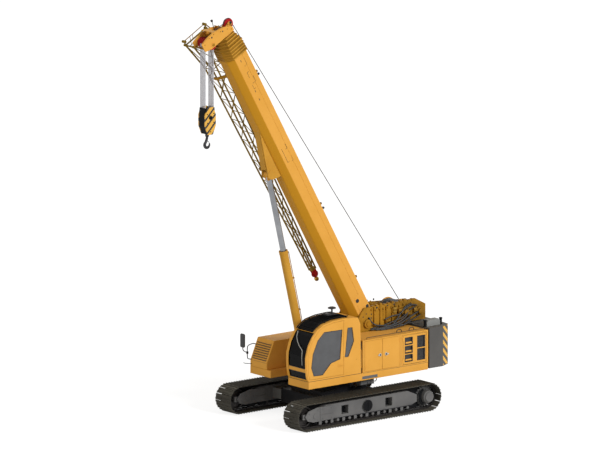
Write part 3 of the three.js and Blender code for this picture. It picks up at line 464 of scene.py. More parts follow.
def smooth_path(points, steps=6):
    """A flowing curve through given points."""
    rows = [Vector(p) for p in points]
    rows = [rows[0] * 2 - rows[1], *rows, rows[-1] * 2 - rows[-2]]
    path = []
    for a, b, c, d in zip(rows, rows[1:], rows[2:], rows[3:]):
        for i in range(steps):
            t = i / steps
            path.append(0.5 * (2 * b + (c - a) * t + (2 * a - 5 * b + 4 * c - d) * t * t
                               + (3 * b - a - 3 * c + d) * t ** 3))
    return [*path, rows[-2]]


# ------------------------------------------------------------------ crawler tracks
def track_path(node):
    """A track loop's rear and front axle places, its axle height and its outer radius."""
    low, high = extent(node, machine)
    radius = (high.z - low.z) / 2
    return low.x + radius, high.x - radius, low.z + radius, radius


def along_track(node, inset, count):
    """Evenly spaced places round the loop, inset metres inside its outer face, with their headings."""
    rear, front, height, radius = track_path(node)
    radius -= inset
    straight = front - rear
    total = 2 * straight + 2 * math.pi * radius
    rows = []
    for i in range(count):
        run = (i + 0.5) * total / count
        if run < straight:
            rows.append((front - run, height - radius, math.pi))
            continue
        run -= straight
        if run < math.pi * radius:
            turn = -math.pi / 2 - run / radius
            rows.append((rear + radius * math.cos(turn), height + radius * math.sin(turn),
                         turn - math.pi / 2))
            continue
        run -= math.pi * radius
        if run < straight:
            rows.append((rear + run, height + radius, 0.0))
            continue
        turn = math.pi / 2 - (run - straight) / radius
        rows.append((front + radius * math.cos(turn), height + radius * math.sin(turn), turn - math.pi / 2))
    return rows


def loop_pieces(node, count, inset, parts):
    """Repeats outlines round a loop. parts rows are (outline across heading and outwards, y from, y to)."""
    shape = Shape()
    for x, z, heading in along_track(node, inset, count):
        for outline, low, high in parts:
            rows = [(x + a * math.cos(heading) - b * math.sin(heading),
                     z + a * math.sin(heading) + b * math.cos(heading)) for a, b in outline]
            shape.prism(rows, low, high)
    return shape


def track(side):
    """One crawler: shoes with grousers, forged links and pins, wheels, rollers and the frame's fittings."""
    node = f"{side}_track_loop"
    body = f"{side}_track"
    low, high = extent(node, machine)
    middle = (low.y + high.y) / 2
    outward = 1 if middle > 0 else -1
    count = 60
    pitch = 2 * ((high.x - low.x) - (high.z - low.z)) / count + math.pi * 0.78 / count
    half = pitch / 2
    grouser = [(-0.006, 0.0), (0.012, 0.0), (0.008, 0.028), (-0.002, 0.028)]
    shoe = [(-half + 0.002, -0.004), (half - 0.012, -0.004), (half - 0.004, 0.012), (-half + 0.008, 0.012),
            (-half + 0.002, 0.006)]
    plates = [(shoe, low.y + 0.004, high.y - 0.004)]
    plates += [([(a + at, b + 0.006) for a, b in grouser], low.y + 0.004, high.y - 0.004)
               for at in (-half * 0.62, half * 0.42)]
    shoes = loop_pieces(node, count, 0.042, plates)
    for x, z, heading in along_track(node, 0.030, count):
        for y in (-0.1, -0.055, 0.055, 0.1):
            bolt_end = (x - 0.014 * math.sin(heading), middle + y, z + 0.014 * math.cos(heading))
            shoes.tube([(x, middle + y, z), bolt_end], 0.013, 6)
    shoes.done(f"{side}_shoes", SHOE, body, replaces=(node,), smooth=25)
    link = [(-half * 0.98, -0.056), (half * 0.98, -0.056), (half * 0.98, 0.0), (half * 0.4, -0.004),
            (-half * 0.4, -0.004), (-half * 0.98, 0.0)]
    rows = [(link, middle + y, middle + y + 0.034) for y in (-0.115, 0.081)]
    rows += [([(a * 0.9, b) for a, b in link], middle + y, middle + y + 0.03) for y in (-0.078, 0.048)]
    links = loop_pieces(node, count, 0.048, rows)
    for x, z, _ in along_track(node, 0.078, count):
        links.turned(mirrored([(0.022, 0.112), (0.02, 0.116)]), (x, middle, z), sides=10)
    links.done(f"{side}_links", LINK, body, smooth=30)

    for end, teeth in (("idler", 0), ("sprocket", 21)):
        wheel_low, wheel_high = extent(f"{side}_{end}", machine)
        centre = ((wheel_low.x + wheel_high.x) / 2, (wheel_low.y + wheel_high.y) / 2,
                  (wheel_low.z + wheel_high.z) / 2)
        radius = (wheel_high.x - wheel_low.x) / 2
        wheel = Shape()
        if teeth:
            # along a tooth, as shares of the pitch, and how far in from the tip
            tooth = ((0.08, 0.045), (0.32, 0.002), (0.5, 0.0), (0.68, 0.002), (0.92, 0.045))
            outline = []
            for i in range(teeth):
                for share, reach in tooth:
                    turn = 2 * math.pi * (i + share) / teeth
                    outline.append((centre[0] + (radius - reach) * math.cos(turn),
                                    centre[2] + (radius - reach) * math.sin(turn)))
            hole = [(centre[0] + 0.16 * math.cos(turn), centre[2] + 0.16 * math.sin(turn))
                    for turn in full_turn(len(outline))]
            wheel.frame(outline, hole, middle - 0.035, middle + 0.035)
        else:
            rim = [(radius - 0.004, 0.034), (radius, 0.04), (radius, 0.1), (radius - 0.008, 0.11),
                   (radius - 0.045, 0.11), (radius - 0.05, 0.055), (0.1, 0.055)]
            wheel.turned(mirrored(rim), (centre[0], middle, centre[2]), sides=56)
        if teeth:
            # the final drive stands out from the frame, with bolts round its flange
            drive = wheel_high.y - middle if outward > 0 else middle - wheel_low.y
            profile = [(0.185, 0.0), (0.185, drive - 0.07), (0.165, drive - 0.045), (0.15, drive - 0.04),
                       (0.15, drive - 0.012), (0.135, drive)]
            wheel.turned(handed(profile, outward), (centre[0], middle, centre[2]), sides=40)
            for turn in full_turn(16):
                spot = (centre[0] + 0.2 * math.cos(turn), middle + outward * 0.034,
                        centre[2] + 0.2 * math.sin(turn))
                wheel.turned([(0.014, -0.014), (0.014, 0.014)], spot, sides=6)
        else:
            wheel.turned(mirrored([(0.115, 0.1), (0.105, 0.11)]), (centre[0], middle, centre[2]))
            for turn in full_turn(8, 0.5):
                spot = (centre[0] + 0.08 * math.cos(turn), middle, centre[2] + 0.08 * math.sin(turn))
                wheel.turned([(0.012, -0.118), (0.012, 0.118)], spot, sides=6)
        wheel.done(f"{side}_{end}_wheel", GREY if teeth else LINK, body, replaces=(f"{side}_{end}",))

    # the rollers, flanged at both ends, each where the frame's roller row has one
    rollers = Shape()
    data = frame["nodes"][f"{side}_rollers"].data
    spots = sorted({round(v.co.x, 1) for v in data.vertices})
    groups = []
    for x in spots:
        if not groups or x - groups[-1][-1] > 0.22:
            groups.append([x])
        else:
            groups[-1].append(x)
    low_r, high_r = extent(f"{side}_rollers", machine)
    for group in groups:
        near = [v.co for v in data.vertices if group[0] - 0.06 <= v.co.x <= group[-1] + 0.06]
        x = (min(v.x for v in near) + max(v.x for v in near)) / 2 - SLEW.x
        z = (min(v.z for v in near) + max(v.z for v in near)) / 2
        r = (max(v.z for v in near) - min(v.z for v in near)) / 2
        w = (high_r.y - low_r.y) / 2
        tread = [(r * 0.86, w - 0.042), (r * 0.98, w - 0.036), (r, w - 0.02), (r * 0.98, w - 0.006),
                 (r * 0.6, w)]
        rollers.turned(mirrored(tread), (x, middle, z), sides=24)
    rollers.done(f"{side}_roller_set", LINK, body, replaces=(f"{side}_rollers",))

    refined(f"{side}_side_frame", GREY, 0.008)
    extras = Shape()
    frame_low, frame_high = extent(f"{side}_side_frame", machine)
    outer = frame_high.y if outward > 0 else frame_low.y
    extras.block((-1.7, 1.7), sorted((outer - outward * 0.02, outer - outward * 0.008)), (0.262, 0.275))
    for x in (-1.38, -0.92, -0.46, 0.46, 0.92, 1.38):
        for z in (0.34, 0.6):
            extras.turned([(0.017, -0.004), (0.017, 0.004)], (x, outer - outward * 0.05, z), sides=6)
    extras.done(f"{side}_frame_bolts", DARK_STEEL, body)
    caps = Shape()
    for i in range(8):
        x = -1.53 + i * 0.44
        y = outer + outward * 0.004
        caps.turned(handed([(0.046, -0.02), (0.046, 0.008), (0.034, 0.018), (0.0, 0.02)], outward),
                    (x, y - outward * 0.03, 0.205), sides=16)
        caps.block((x + 0.17, x + 0.27), sorted((y - outward * 0.05, y - outward * 0.03)), (0.15, 0.25))
    caps.done(f"{side}_roller_caps", GREY, body, 0.001)
    # guard plates over the idler's yoke, inside and outside
    idler_guard = Shape()
    for way in (-1, 1):
        y = sorted((middle + way * 0.224, middle + way * 0.240))
        idler_guard.prism([(1.30, 0.27), (2.05, 0.25), (2.26, 0.31), (2.36, 0.45), (2.24, 0.60),
                           (1.90, 0.68), (1.30, 0.66)], *y)
        rib = sorted((middle + way * 0.238, middle + way * 0.252))
        idler_guard.prism([(1.78, 0.27), (1.80, 0.27), (1.80, 0.66), (1.78, 0.66)], *rib)
        idler_guard.prism([(1.32, 0.44), (1.78, 0.44), (1.78, 0.455), (1.32, 0.455)], *rib)
        idler_guard.prism(arc(1.98, 0.43, 0.075, 0, 345, 23), *rib)
        for x, z in ((1.36, 0.32), (1.36, 0.60), (1.70, 0.32), (1.70, 0.60), (1.88, 0.60), (2.2, 0.52),
                     (2.2, 0.36), (1.88, 0.30)):
            idler_guard.prism(arc(x, z, 0.018, 0, 300, 5), *rib)
    idler_guard.done(f"{side}_idler_guard", GREY, body, 0.003)
    # the wall between the wheels, a black sheet that is painted shade inside the loop; two carrier rollers;
    # and black guards beside the rollers and round the sprocket that fill the gaps there with painted shade
    rear, front, height, radius = track_path(node)
    guards = Shape()
    inner = radius - 0.135
    guards.prism(arc(front, height, inner, 90, -90, 18) + arc(rear, height, inner, 270, 90, 18),
                 middle - 0.018, middle + 0.018)
    for x in (-1.0, 0.95):
        guards.turned(mirrored([(0.04, 0.065), (0.052, 0.07), (0.052, 0.125), (0.03, 0.13)]),
                      (x, middle, 0.698), sides=20)
    for way in (-1, 1):
        y = sorted((middle + way * 0.13, middle + way * 0.15))
        for i in range(9):
            x = -1.75 + i * 0.44
            guards.prism([(x - 0.16, 0.16), (x + 0.16, 0.16), (x + 0.10, 0.27), (x - 0.10, 0.27)], *y)
        guards.prism(arc(rear, height, 0.285, 62, -62, 10) + arc(rear, height, 0.215, -62, 62, 10), *y)
    guards.done(f"{side}_guard_and_shade_fill", DEEP_BLACK, body)
    # the black cover on the frame's outer wall
    cover = Shape()
    rows = [(0.172, 0.0), (0.172, 0.012), (0.16, 0.018), (0.0, 0.018)]
    cover.turned(handed(rows, outward), (0, outer, 0.48), sides=40)
    cover.block((-0.006, 0.006), sorted((outer, outer + outward * 0.026)), (0.33, 0.63))
    cover.done(f"{side}_frame_cover", DEEP_BLACK, body, 0.002)


track("left")
track("right")

# ------------------------------------------------------------------ carbody and slewing ring
refined("carbody", BLACK, 0.012)
ring_low, ring_high = extent("slew_ring", machine)
ring = Shape()
ring.turned([(0.55, ring_low.z), (0.7, ring_low.z), (0.7, ring_low.z + 0.05), (0.665, ring_low.z + 0.055),
             (0.665, ring_low.z + 0.085), (0.695, ring_low.z + 0.09), (0.695, ring_high.z - 0.004),
             (0.69, ring_high.z), (0.55, ring_high.z)], (0, 0, 0), "z", 72)
for turn in full_turn(90):
    a, b = math.cos(turn), math.sin(turn)
    ring.tube([(0.64 * a, 0.64 * b, ring_low.z + 0.07), (0.69 * a, 0.69 * b, ring_low.z + 0.07)],
              [0.017, 0.01], 5)
ring.done("slewing_ring", DARK_STEEL, frame["nodes"]["slew_ring"]["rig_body"], replaces=("slew_ring",),
          smooth=30)
ring_bolts = Shape()
for turn in full_turn(40, 0.5):
    ring_bolts.bolt((0.72 * math.cos(turn), 0.72 * math.sin(turn), 0.949), "z", 0.014, 0.018)
ring_bolts.done("ring_bolts", ZINC, "undercarriage")
carbody_side = extent("carbody", machine)[1].y
chassis = Shape()
for end in (-1, 1):
    # flanged mouths of the cross tubes
    for side in (-1, 1):
        y = side * carbody_side
        outer = sorted((y, y - side * 0.03))
        x0, x1, z0, z1 = end * 0.83 - 0.2, end * 0.83 + 0.2, 0.275, 0.675
        chassis.frame(oblong(x0, x1, z0, z1, 0.014), oblong(x0, x1, z0, z1, -0.004), *outer)
chassis.done("cross_tube_collars", BLACK, "undercarriage", 0.004)
for side, name in ((1, "left"), (-1, "right")):
    travel_hoses = Shape()
    for i in range(3):
        y = side * (0.28 + i * 0.05)
        travel_hoses.tube(smooth_path([
            (-0.45 - i * 0.05, y, 0.82), (-0.95, y + side * 0.05, 0.80 - i * 0.03),
                                       (-1.15 - i * 0.03, y + side * 0.25, 0.62),
            (-1.22, side * 0.8, 0.52 + i * 0.035), (-1.5, side * (1.12 + i * 0.03), 0.48 + i * 0.03),
            (-1.75 - i * 0.05, side * 1.28, 0.47)]), 0.014, 8)
    hoses = travel_hoses.done(f"{name}_travel_hoses", RUBBER, None)
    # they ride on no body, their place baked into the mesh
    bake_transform(hoses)

# ------------------------------------------------------------------ turning deck and housings
for node in ("centre_frame", "left_deck", "right_deck"):
    refined(node, YELLOW, 0.006)
refined("left_housing", YELLOW, 0.012)
refined("control_box", GREY, 0.006)
refined("engine", DARK_STEEL, 0.015)
for node in ("service_door_front", "service_door_rear", "hood_door", "grille_door"):
    refined(node, YELLOW, 0.004)
# the outer face of the left housing; the right hood mirrors it
LEFT = 1.45


def panel_line(shape, points, y, width=0.006):
    """A dark recessed joint between two panels, drawn as a shallow strip 0.6 mm proud."""
    for (x0, z0), (x1, z1) in zip(points, points[1:]):
        a, b = sorted((x0, x1)), sorted((z0, z1))
        pad = (0, width / 2) if a[1] - a[0] > b[1] - b[0] else (width / 2, 0)
        shape.block((a[0] - pad[0], a[1] + pad[0]), sorted((y, y + math.copysign(0.0006, y))),
                    (b[0] - pad[1], b[1] + pad[1]))


seams = Shape()
panel_line(seams, [(-0.165, 1.375), (-0.165, 2.33)], LEFT)
panel_line(seams, [(-2.59, 1.366), (-0.13, 1.366)], LEFT, 0.008)
panel_line(seams, [(-1.57, 1.375), (-1.57, 2.33)], LEFT)
seams.block((-0.121, -0.06), (0.6, 1.40), (1.37, 2.3))
seams.done("panel_joints", SEAL, "superstructure")
stripe = Shape()
stripe.block((-0.68, -0.1), (LEFT, LEFT + 0.001), (1.18, 1.27))
stripe.done("sill_grey_stripe", GREY, "superstructure")

for door, x, reach in (("service_door_front", -0.78, 1), ("service_door_rear", -1.01, -1)):
    latch = Shape()
    latch.turned([(0.05, 0.0), (0.05, 0.006), (0.042, 0.014), (0.03, 0.014), (0.028, 0.008)],
                 (x, LEFT, 1.83))
    latch.block(sorted((x + reach * 0.018, x + reach * 0.085)), (LEFT + 0.008, LEFT + 0.02), (1.812, 1.848))
    latch.done(f"{door}_latch", ZINC, door, 0.002)
    core = Shape()
    core.turned([(0.028, 0.004), (0.028, 0.012), (0.02, 0.018)], (x, LEFT, 1.83), sides=20)
    core.done(f"{door}_lock", PLASTIC, door)
hinges = {"service_door_front": -0.206, "service_door_rear": -1.525, "grille_door": -1.62}
for door, x in hinges.items():
    knuckles = Shape()
    for z in (1.52, 2.18):
        side = 1 if door == "service_door_rear" else -1
        knuckles.tube([(x, LEFT + 0.006, z - 0.05), (x, LEFT + 0.006, z + 0.05)], 0.009, 10)
        knuckles.block(sorted((x, x + side * 0.045)), (LEFT, LEFT + 0.004), (z - 0.045, z + 0.045))
    knuckles.done(f"{door}_hinges", YELLOW, door, 0.001)

# air intakes in the grille door: three bays with a slanting blade each, then two behind wire mesh
intake = Shape()
blades = Shape()
rims = Shape()
liner = Shape()
net = Shape()
for x0, x1, spans in ((-1.99, -1.74, 3), (-2.46, -2.21, 2)):
    pitch = (2.23 - 1.46) / spans
    for i in range(spans):
        edge = 0.10 if spans == 3 else 0.06
        z0, z1 = 1.46 + pitch * (i + edge), 1.46 + pitch * (i + 1 - edge)
        bay = (x0, x1, z0, z1)
        rims.frame(oblong(*bay, 0.026, 0.008), oblong(*bay), LEFT - 0.002, LEFT + 0.003)
        liner.frame(oblong(*bay, -0.001), oblong(*bay, -0.004), LEFT - 0.036, LEFT - 0.001)
        if spans == 3:
            liner.block((x0 - 0.01, x1 + 0.01), (LEFT - 0.045, LEFT - 0.038), (z0 - 0.01, z1 + 0.01))
            z = z0 + 0.022
            blades.prism([(LEFT - 0.030, z + 0.05), (LEFT - 0.027, z + 0.052), (LEFT - 0.004, z + 0.012),
                          (LEFT - 0.007, z + 0.008)], x0 + 0.006, x1 - 0.006, "yz")
        else:
            net.block((x0 - 0.01, x1 + 0.01), (LEFT - 0.045, LEFT - 0.038), (z0 - 0.01, z1 + 0.01))
            for k in range(11):
                x = x0 + 0.012 + k * (x1 - x0 - 0.024) / 10
                intake.tube([(x, LEFT - 0.02, z0), (x, LEFT - 0.02, z1)], 0.003, 5)
            for k in range(int((z1 - z0) / 0.024)):
                intake.tube([(x0, LEFT - 0.017, z0 + 0.012 + k * 0.024),
                             (x1, LEFT - 0.017, z0 + 0.012 + k * 0.024)], 0.003, 5)
intake.done("intake_mesh", DARK_STEEL, "grille_door")
blades.done("intake_blades", YELLOW, "grille_door")
leaf = (-2.52, -1.66, 1.41, 2.28)
rims.frame(oblong(*leaf), oblong(*leaf, -0.005), LEFT - 0.001, LEFT + 0.0015)
rims.done("intake_rims", SEAL, "grille_door")
liner.done("intake_liners", PLASTIC, "grille_door")
net.done("intake_filters", GREY, "grille_door")

loops = Shape()
for x in (-1.70, -2.17):
    loops.tube(smooth_path([(x - 0.09, 1.2, 2.335), (x - 0.085, 1.2, 2.39), (x - 0.05, 1.2, 2.425),
                            (x + 0.05, 1.2, 2.425),
                            (x + 0.085, 1.2, 2.39), (x + 0.09, 1.2, 2.335)], 4), 0.011, 8)
loops.tube([(-2.5, 1.41, 2.35), (-2.5, 1.41, 2.4), (-0.3, 1.41, 2.4), (-0.3, 1.41, 2.35)], 0.008, 6)
loops.done("lifting_loops", DARK_STEEL, "superstructure")
pedestal = Shape()
pedestal.block((-0.76, -0.24), (0.99, 1.21), (0.938, 0.95))
for x in (-0.7, -0.5, -0.3):
    pedestal.bolt((x, 1.2, 1.1), "y", 0.014, 0.012)
pedestal.tube(smooth_path([(-0.85, 1.1, 1.14), (-0.93, 1.1, 1.06), (-0.9, 1.1, 0.98), (-0.82, 1.1, 0.99),
                           (-0.8, 1.1, 1.08)]), 0.012, 8)
pedestal.tube(smooth_path([(-0.62, 1.2, 1.04), (-0.62, 1.225, 1.0), (-0.58, 1.225, 0.96),
                           (-0.5, 1.225, 0.97), (-0.5, 1.2, 1.02)]), 0.009, 8)
pedestal.done("control_box_fittings", DARK_STEEL, "superstructure")

# right hood: louvred sloping nose, rounded edges, handrail and a step rod
refined("right_hood", YELLOW, 0.014)
slope = Vector((1.5 - 1.78, 0, 2.2 - 1.56)).normalized()
out = Vector((slope.z, 0, -slope.x))


def on_nose(x, y, z):
    """x proud of the sloping nose, z up the slope from its foot."""
    return machine(1.78, y, 1.56) + slope * z + out * x


louvres = Shape(on_nose)
# dark strips between the louvre blades: painted shade in the openings
gaps = Shape(on_nose)
for i in range(8):
    z = 0.07 + i * 0.070
    louvres.prism([(-0.004, z + 0.034), (0.024, z + 0.006), (0.026, z + 0.009), (0.004, z + 0.046),
                   (-0.004, z + 0.046)], -1.40, -0.74)
    gaps.block((0.0005, 0.002), (-1.395, -0.745), (z - 0.016, z + 0.030))
louvres.done("nose_louvres", YELLOW, "superstructure", 0.001)
gaps.done("nose_openings", SEAL, "superstructure")
hood_bits = Shape()
hood_bits.tube(smooth_path([(1.60, -1.40, 2.0), (1.66, -1.46, 2.02), (1.80, -1.50, 1.98),
                            (1.85, -1.50, 1.90), (1.85, -1.50, 1.64),
                            (1.83, -1.48, 1.58), (1.76, -1.40, 1.57)], 4), 0.014, 8)
hood_bits.tube([(1.78, -1.38, 1.44), (1.90, -1.55, 1.44), (1.90, -1.62, 1.445)], 0.010, 8)
hood_bits.done("hood_grab_bracket", DARK_STEEL, "superstructure")
hood_seams = Shape()
panel_line(hood_seams, [(-1.6, 1.37), (-1.6, 2.19)], -LEFT)
panel_line(hood_seams, [(1.2, 1.37), (1.2, 2.19)], -LEFT)
panel_line(hood_seams, [(-2.59, 1.366), (1.77, 1.366)], -LEFT, 0.008)
hood_seams.block((1.7795, 1.7806), (-1.44, -0.69), (1.556, 1.562))
for k in range(14):
    z = 1.52 + k * 0.045
    hood_seams.block((-2.45, -1.75), (-LEFT - 0.0008, -LEFT), (z, z + 0.022))
hood_seams.done("hood_joints", SEAL, "superstructure")
hood_handle = Shape()
hood_handle.block((0.72, 0.84), (-LEFT - 0.014, -LEFT), (1.74, 1.79))
hood_handle.done("hood_door_latch", ZINC, "hood_door", 0.003)

# mirror on its bent arm
mirror = Shape()
mirror.tube(smooth_path([(1.84, -1.50, 1.76), (1.82, -1.60, 1.755), (1.77, -1.74, 1.75),
                         (1.75, -1.82, 1.77), (1.75, -1.84, 1.83), (1.75, -1.84, 2.02)]), 0.014, 10)
mirror.block((1.825, 1.875), (-1.52, -1.48), (1.72, 1.80))
mirror.done("mirror_arm", DARK_STEEL, "superstructure", 0.002, replaces=("mirror",))
head = Shape()
corner = [(-1.93, 1.88), (-1.90, 1.85), (-1.78, 1.85), (-1.75, 1.88), (-1.75, 2.23), (-1.78, 2.26),
          (-1.90, 2.26), (-1.93, 2.23)]
head.prism(corner, 1.73, 1.78, "yz")
head.done("mirror_shell", PLASTIC, "superstructure", 0.012)
reflector = Shape()
reflector.prism([(y * 0.92 - 1.84 * 0.08, z * 0.94 + 2.055 * 0.06) for y, z in corner], 1.727, 1.7295, "yz")
reflector.done("mirror_glass", CHROME, "superstructure")

# ------------------------------------------------------------------ boom supports, winches, hoses and valves
for node in ("boom_support_left", "boom_support_right", "winch_frame_back"):
    refined(node, OILED_AND_SHADED_YELLOW, 0.006)
support = Shape()
for side in (-1, 1):
    face = side * 0.475
    # foot pin with its keeper plate, stiffening flanges along the upper edges, and patch plates
    profile = [(0.13, 0.0), (0.13, 0.018), (0.105, 0.026), (0.075, 0.026), (0.07, 0.05), (0.0, 0.05)]
    support.turned(handed(profile, side), (-1.07, side * 0.52, 2.57))
    for x0, x1, z0, z1 in ((-1.60, -1.32, 2.52, 2.9), (-2.2, -1.68, 2.6, 2.9), (-3.2, -2.95, 2.5, 2.8),
                           (-1.02, -0.62, 2.36, 2.46)):
        support.block((x0, x1), sorted((face, face + side * 0.012)), (z0, z1))
    for x, z in ((-1.32, 3.05), (-1.55, 3.02), (-1.78, 3.0), (-2.0, 2.98)):
        support.block((x - 0.008, x + 0.008), sorted((face, face + side * 0.05)), (2.40, z))
    for turn in full_turn(6):
        support.bolt((-1.07 + 0.115 * math.cos(turn), side * 0.54, 2.57 + 0.115 * math.sin(turn)), "y",
                     0.011, 0.0)
support.done("support_stiffeners", OILED_AND_SHADED_YELLOW, "superstructure", 0.003)
# dark discs where the plates are holed: painted shade inside the lightening holes
holes = Shape()
for side in (-1, 1):
    face = side * 0.475
    for x, z, r in ((-1.45, 3.0, 0.035), (-1.85, 3.0, 0.03), (-1.24, 2.83, 0.022), (-1.24, 2.72, 0.022),
                    (-1.24, 2.61, 0.022), (-2.1, 3.01, 0.03), (-1.05, 2.86, 0.02), (-0.93, 2.78, 0.02)):
        holes.turned([(r, -0.0008), (r, 0.0008)], (x, face, z), sides=20)
holes.done("support_lightening_holes", SEAL, "superstructure")

hoses = Shape()
runs = [
    [(-1.20, 0.50, 2.40), (-1.5, 0.56, 2.44), (-1.9, 0.6, 2.52), (-2.3, 0.62, 2.62), (-2.6, 0.58, 2.78),
     (-2.85, 0.53, 2.86)],
    [(-1.15, 0.56, 2.38), (-1.6, 0.62, 2.41), (-2.0, 0.66, 2.47), (-2.35, 0.66, 2.60), (-2.52, 0.60, 2.74),
     (-2.56, 0.52, 2.84)],
    [(-1.3, 0.62, 2.37), (-1.75, 0.68, 2.40), (-2.1, 0.7, 2.45), (-2.4, 0.68, 2.55), (-2.75, 0.62, 2.66),
     (-3.02, 0.53, 2.70)],
    [(-1.42, 0.68, 2.36), (-1.9, 0.74, 2.38), (-2.3, 0.74, 2.43), (-2.6, 0.7, 2.52), (-2.9, 0.62, 2.58),
     (-3.15, 0.52, 2.66)],
    [(-1.7, 0.54, 2.62), (-1.95, 0.58, 2.70), (-2.2, 0.6, 2.72), (-2.4, 0.58, 2.84), (-2.7, 0.56, 2.93),
     (-2.95, 0.50, 2.88)],
    [(-1.9, 0.6, 2.36), (-2.0, 0.62, 2.5), (-2.15, 0.6, 2.62), (-2.3, 0.56, 2.76), (-2.5, 0.54, 2.90),
     (-2.75, 0.5, 2.96)],
    [(-2.3, 0.66, 2.36), (-2.35, 0.68, 2.44), (-2.5, 0.66, 2.5), (-2.6, 0.6, 2.62), (-2.5, 0.56, 2.7),
     (-2.38, 0.54, 2.66)],
    [(-2.05, 0.56, 2.42), (-2.25, 0.62, 2.40), (-2.5, 0.66, 2.43), (-2.7, 0.64, 2.38), (-2.8, 0.8, 2.37),
     (-2.62, 1.0, 2.36)],
    [(-1.12, 0.5, 2.75), (-1.2, 0.54, 2.6), (-1.35, 0.58, 2.5), (-1.6, 0.6, 2.46), (-1.85, 0.62, 2.44),
     (-2.1, 0.6, 2.5)],
]
for n, run in enumerate(runs):
    hoses.tube(smooth_path(run, 5), 0.017 + 0.004 * (n % 3), 8)
for n in range(5):
    hoses.tube(smooth_path([(-1.25 - 0.1 * n, -0.5, 2.42), (-1.6, -0.54 - 0.02 * n, 2.5),
                            (-2.1, -0.58, 2.62 + 0.03 * n),
                            (-2.5, -0.56, 2.8 - 0.02 * n), (-2.9, -0.5, 2.78)], 5), 0.017, 8)
for n in range(4):
    # hoses that loop over the frame's top from the winch motors to the valve bank
    y = 0.26 - n * 0.07
    hoses.tube(smooth_path([(-1.9 - 0.05 * n, y, 2.85), (-1.95, y, 3.02), (-2.08, y + 0.02, 3.10),
                            (-2.2, y + 0.06, 3.03), (-2.25, y + 0.12, 2.85)], 5), 0.016, 8)
hoses.done("winch_frame_hoses", RUBBER, "superstructure")

valves = Shape()
for x, z, w, h, d in ((-2.32, 2.80, 0.2, 0.13, 0.09), (-2.08, 2.86, 0.13, 0.16, 0.08),
                      (-2.62, 2.66, 0.16, 0.1, 0.1),
                      (-2.86, 2.76, 0.1, 0.13, 0.07), (-1.82, 2.55, 0.17, 0.1, 0.08),
                      (-2.2, 2.5, 0.12, 0.08, 0.11)):
    valves.block((x - w / 2, x + w / 2), (0.476, 0.476 + d), (z - h / 2, z + h / 2))
    for k in (-1, 0, 1):
        valves.turned([(0.014, 0.0), (0.018, 0.004), (0.018, 0.02), (0.011, 0.024), (0.011, 0.04)],
                      (x + k * w * 0.3, 0.476 + d, z), sides=6)
    valves.block((x - w * 0.4, x + w * 0.4), (-0.476 - d, -0.476), (z - h / 2, z + h / 2))
for x in (-1.72, -1.88, -2.04):
    valves.block((x - 0.06, x + 0.06), (-0.14, 0.14), (2.80, 2.92))
    valves.turned([(0.03, 0.0), (0.03, 0.05), (0.022, 0.055)], (x, 0.06, 2.92), "z", 16)
    valves.turned([(0.02, 0.0), (0.02, 0.07), (0.014, 0.075)], (x, -0.06, 2.92), "z", 12)
valves.block((-2.12, -1.64), (-0.414, 0.414), (2.75, 2.80))
valves.done("valve_bank", BRASS, "superstructure", 0.004)
lines = Shape()
for n in range(6):
    y = -0.30 + n * 0.12
    lines.tube(smooth_path([(-1.66, y, 2.80), (-1.68, y, 2.93 + 0.01 * n), (-1.8, y + 0.02, 2.98),
                            (-1.98, y, 2.97), (-2.08, y, 2.82)], 4),
               0.012, 6)
for k in range(11):
    # fittings and lifting eyes along the left plate's top edge
    x = -1.3 - k * 0.15
    lines.block((x - 0.035, x + 0.035), (0.40, 0.49), (3.03, 3.075 + 0.02 * (k % 3)))
    lines.turned([(0.028, 0.0), (0.032, 0.005), (0.032, 0.03), (0.02, 0.036), (0.02, 0.05)],
                 (x + 0.06, 0.475, 2.97 - 0.03 * (k % 2)), "y", 8)
lines.done("steel_lines", OILED_AND_SHADED_YELLOW, "superstructure")


def wound_winch(node, x, z, core, flange, layers, rope):
    """A winch drum with bolted flanges, and the outermost layer of rope wound on it turn by turn."""
    drum = Shape()
    half = [(core, 0.303), (flange - 0.012, 0.305), (flange, 0.315), (flange, 0.335), (flange - 0.03, 0.345),
            (0.11, 0.345), (0.11, 0.395)]
    drum.turned(mirrored(half), (x, 0, z), sides=56)
    for turn in full_turn(12):
        for side in (-1, 1):
            spot = (x + flange * 0.72 * math.cos(turn), side * 0.345, z + flange * 0.72 * math.sin(turn))
            drum.turned([(0.016, -0.008), (0.016, 0.008)], spot, sides=6)
    drum.done(f"{node}_drum", YELLOW, node, replaces=(node,))
    coil = Shape()
    width, steps = 0.596, 14
    turns = int(width / (2 * rope))
    radius = core + rope * (1 + 1.75 * (layers - 1))
    path = []
    for k in range(turns * steps):
        angle = 2 * math.pi * k / steps
        y = -width / 2 + rope + k * (width - 2 * rope) / (turns * steps - 1)
        path.append((x + radius * math.cos(angle), y if layers % 2 else -y, z + radius * math.sin(angle)))
    coil.tube(path, rope, 6)
    coil.done(f"{node}_wound_rope", HOIST_ROPE, node)


# the hoist rope's radius
ROPE = 0.011
wound_winch("main_winch", -2.5, 2.74, 0.23, 0.31, 3, ROPE)
wound_winch("auxiliary_winch", -3.04, 2.70, 0.165, 0.215, 2, ROPE)
motors = Shape()
for x, z in ((-2.5, 2.74), (-3.04, 2.70)):
    profile = [(0.10, 0.0), (0.13, 0.008), (0.13, 0.05), (0.085, 0.06), (0.085, 0.13), (0.07, 0.14)]
    for side in (1, -1):
        motors.turned(handed(profile, side), (x, side * 0.475, z))
motors.done("winch_motors", OILED_AND_SHADED_YELLOW, "superstructure")
top_plate = Shape()
top_plate.tube([(-2.88, -0.4, 2.90), (-2.88, 0.4, 2.90)], 0.022, 12)
top_plate.tube([(-2.15, -0.4, 2.95), (-2.15, 0.4, 2.95)], 0.018, 12)
top_plate.prism([(-3.28, 2.86), (-3.27, 2.88), (-2.95, 2.905), (-2.95, 2.89)], -0.414, 0.414)
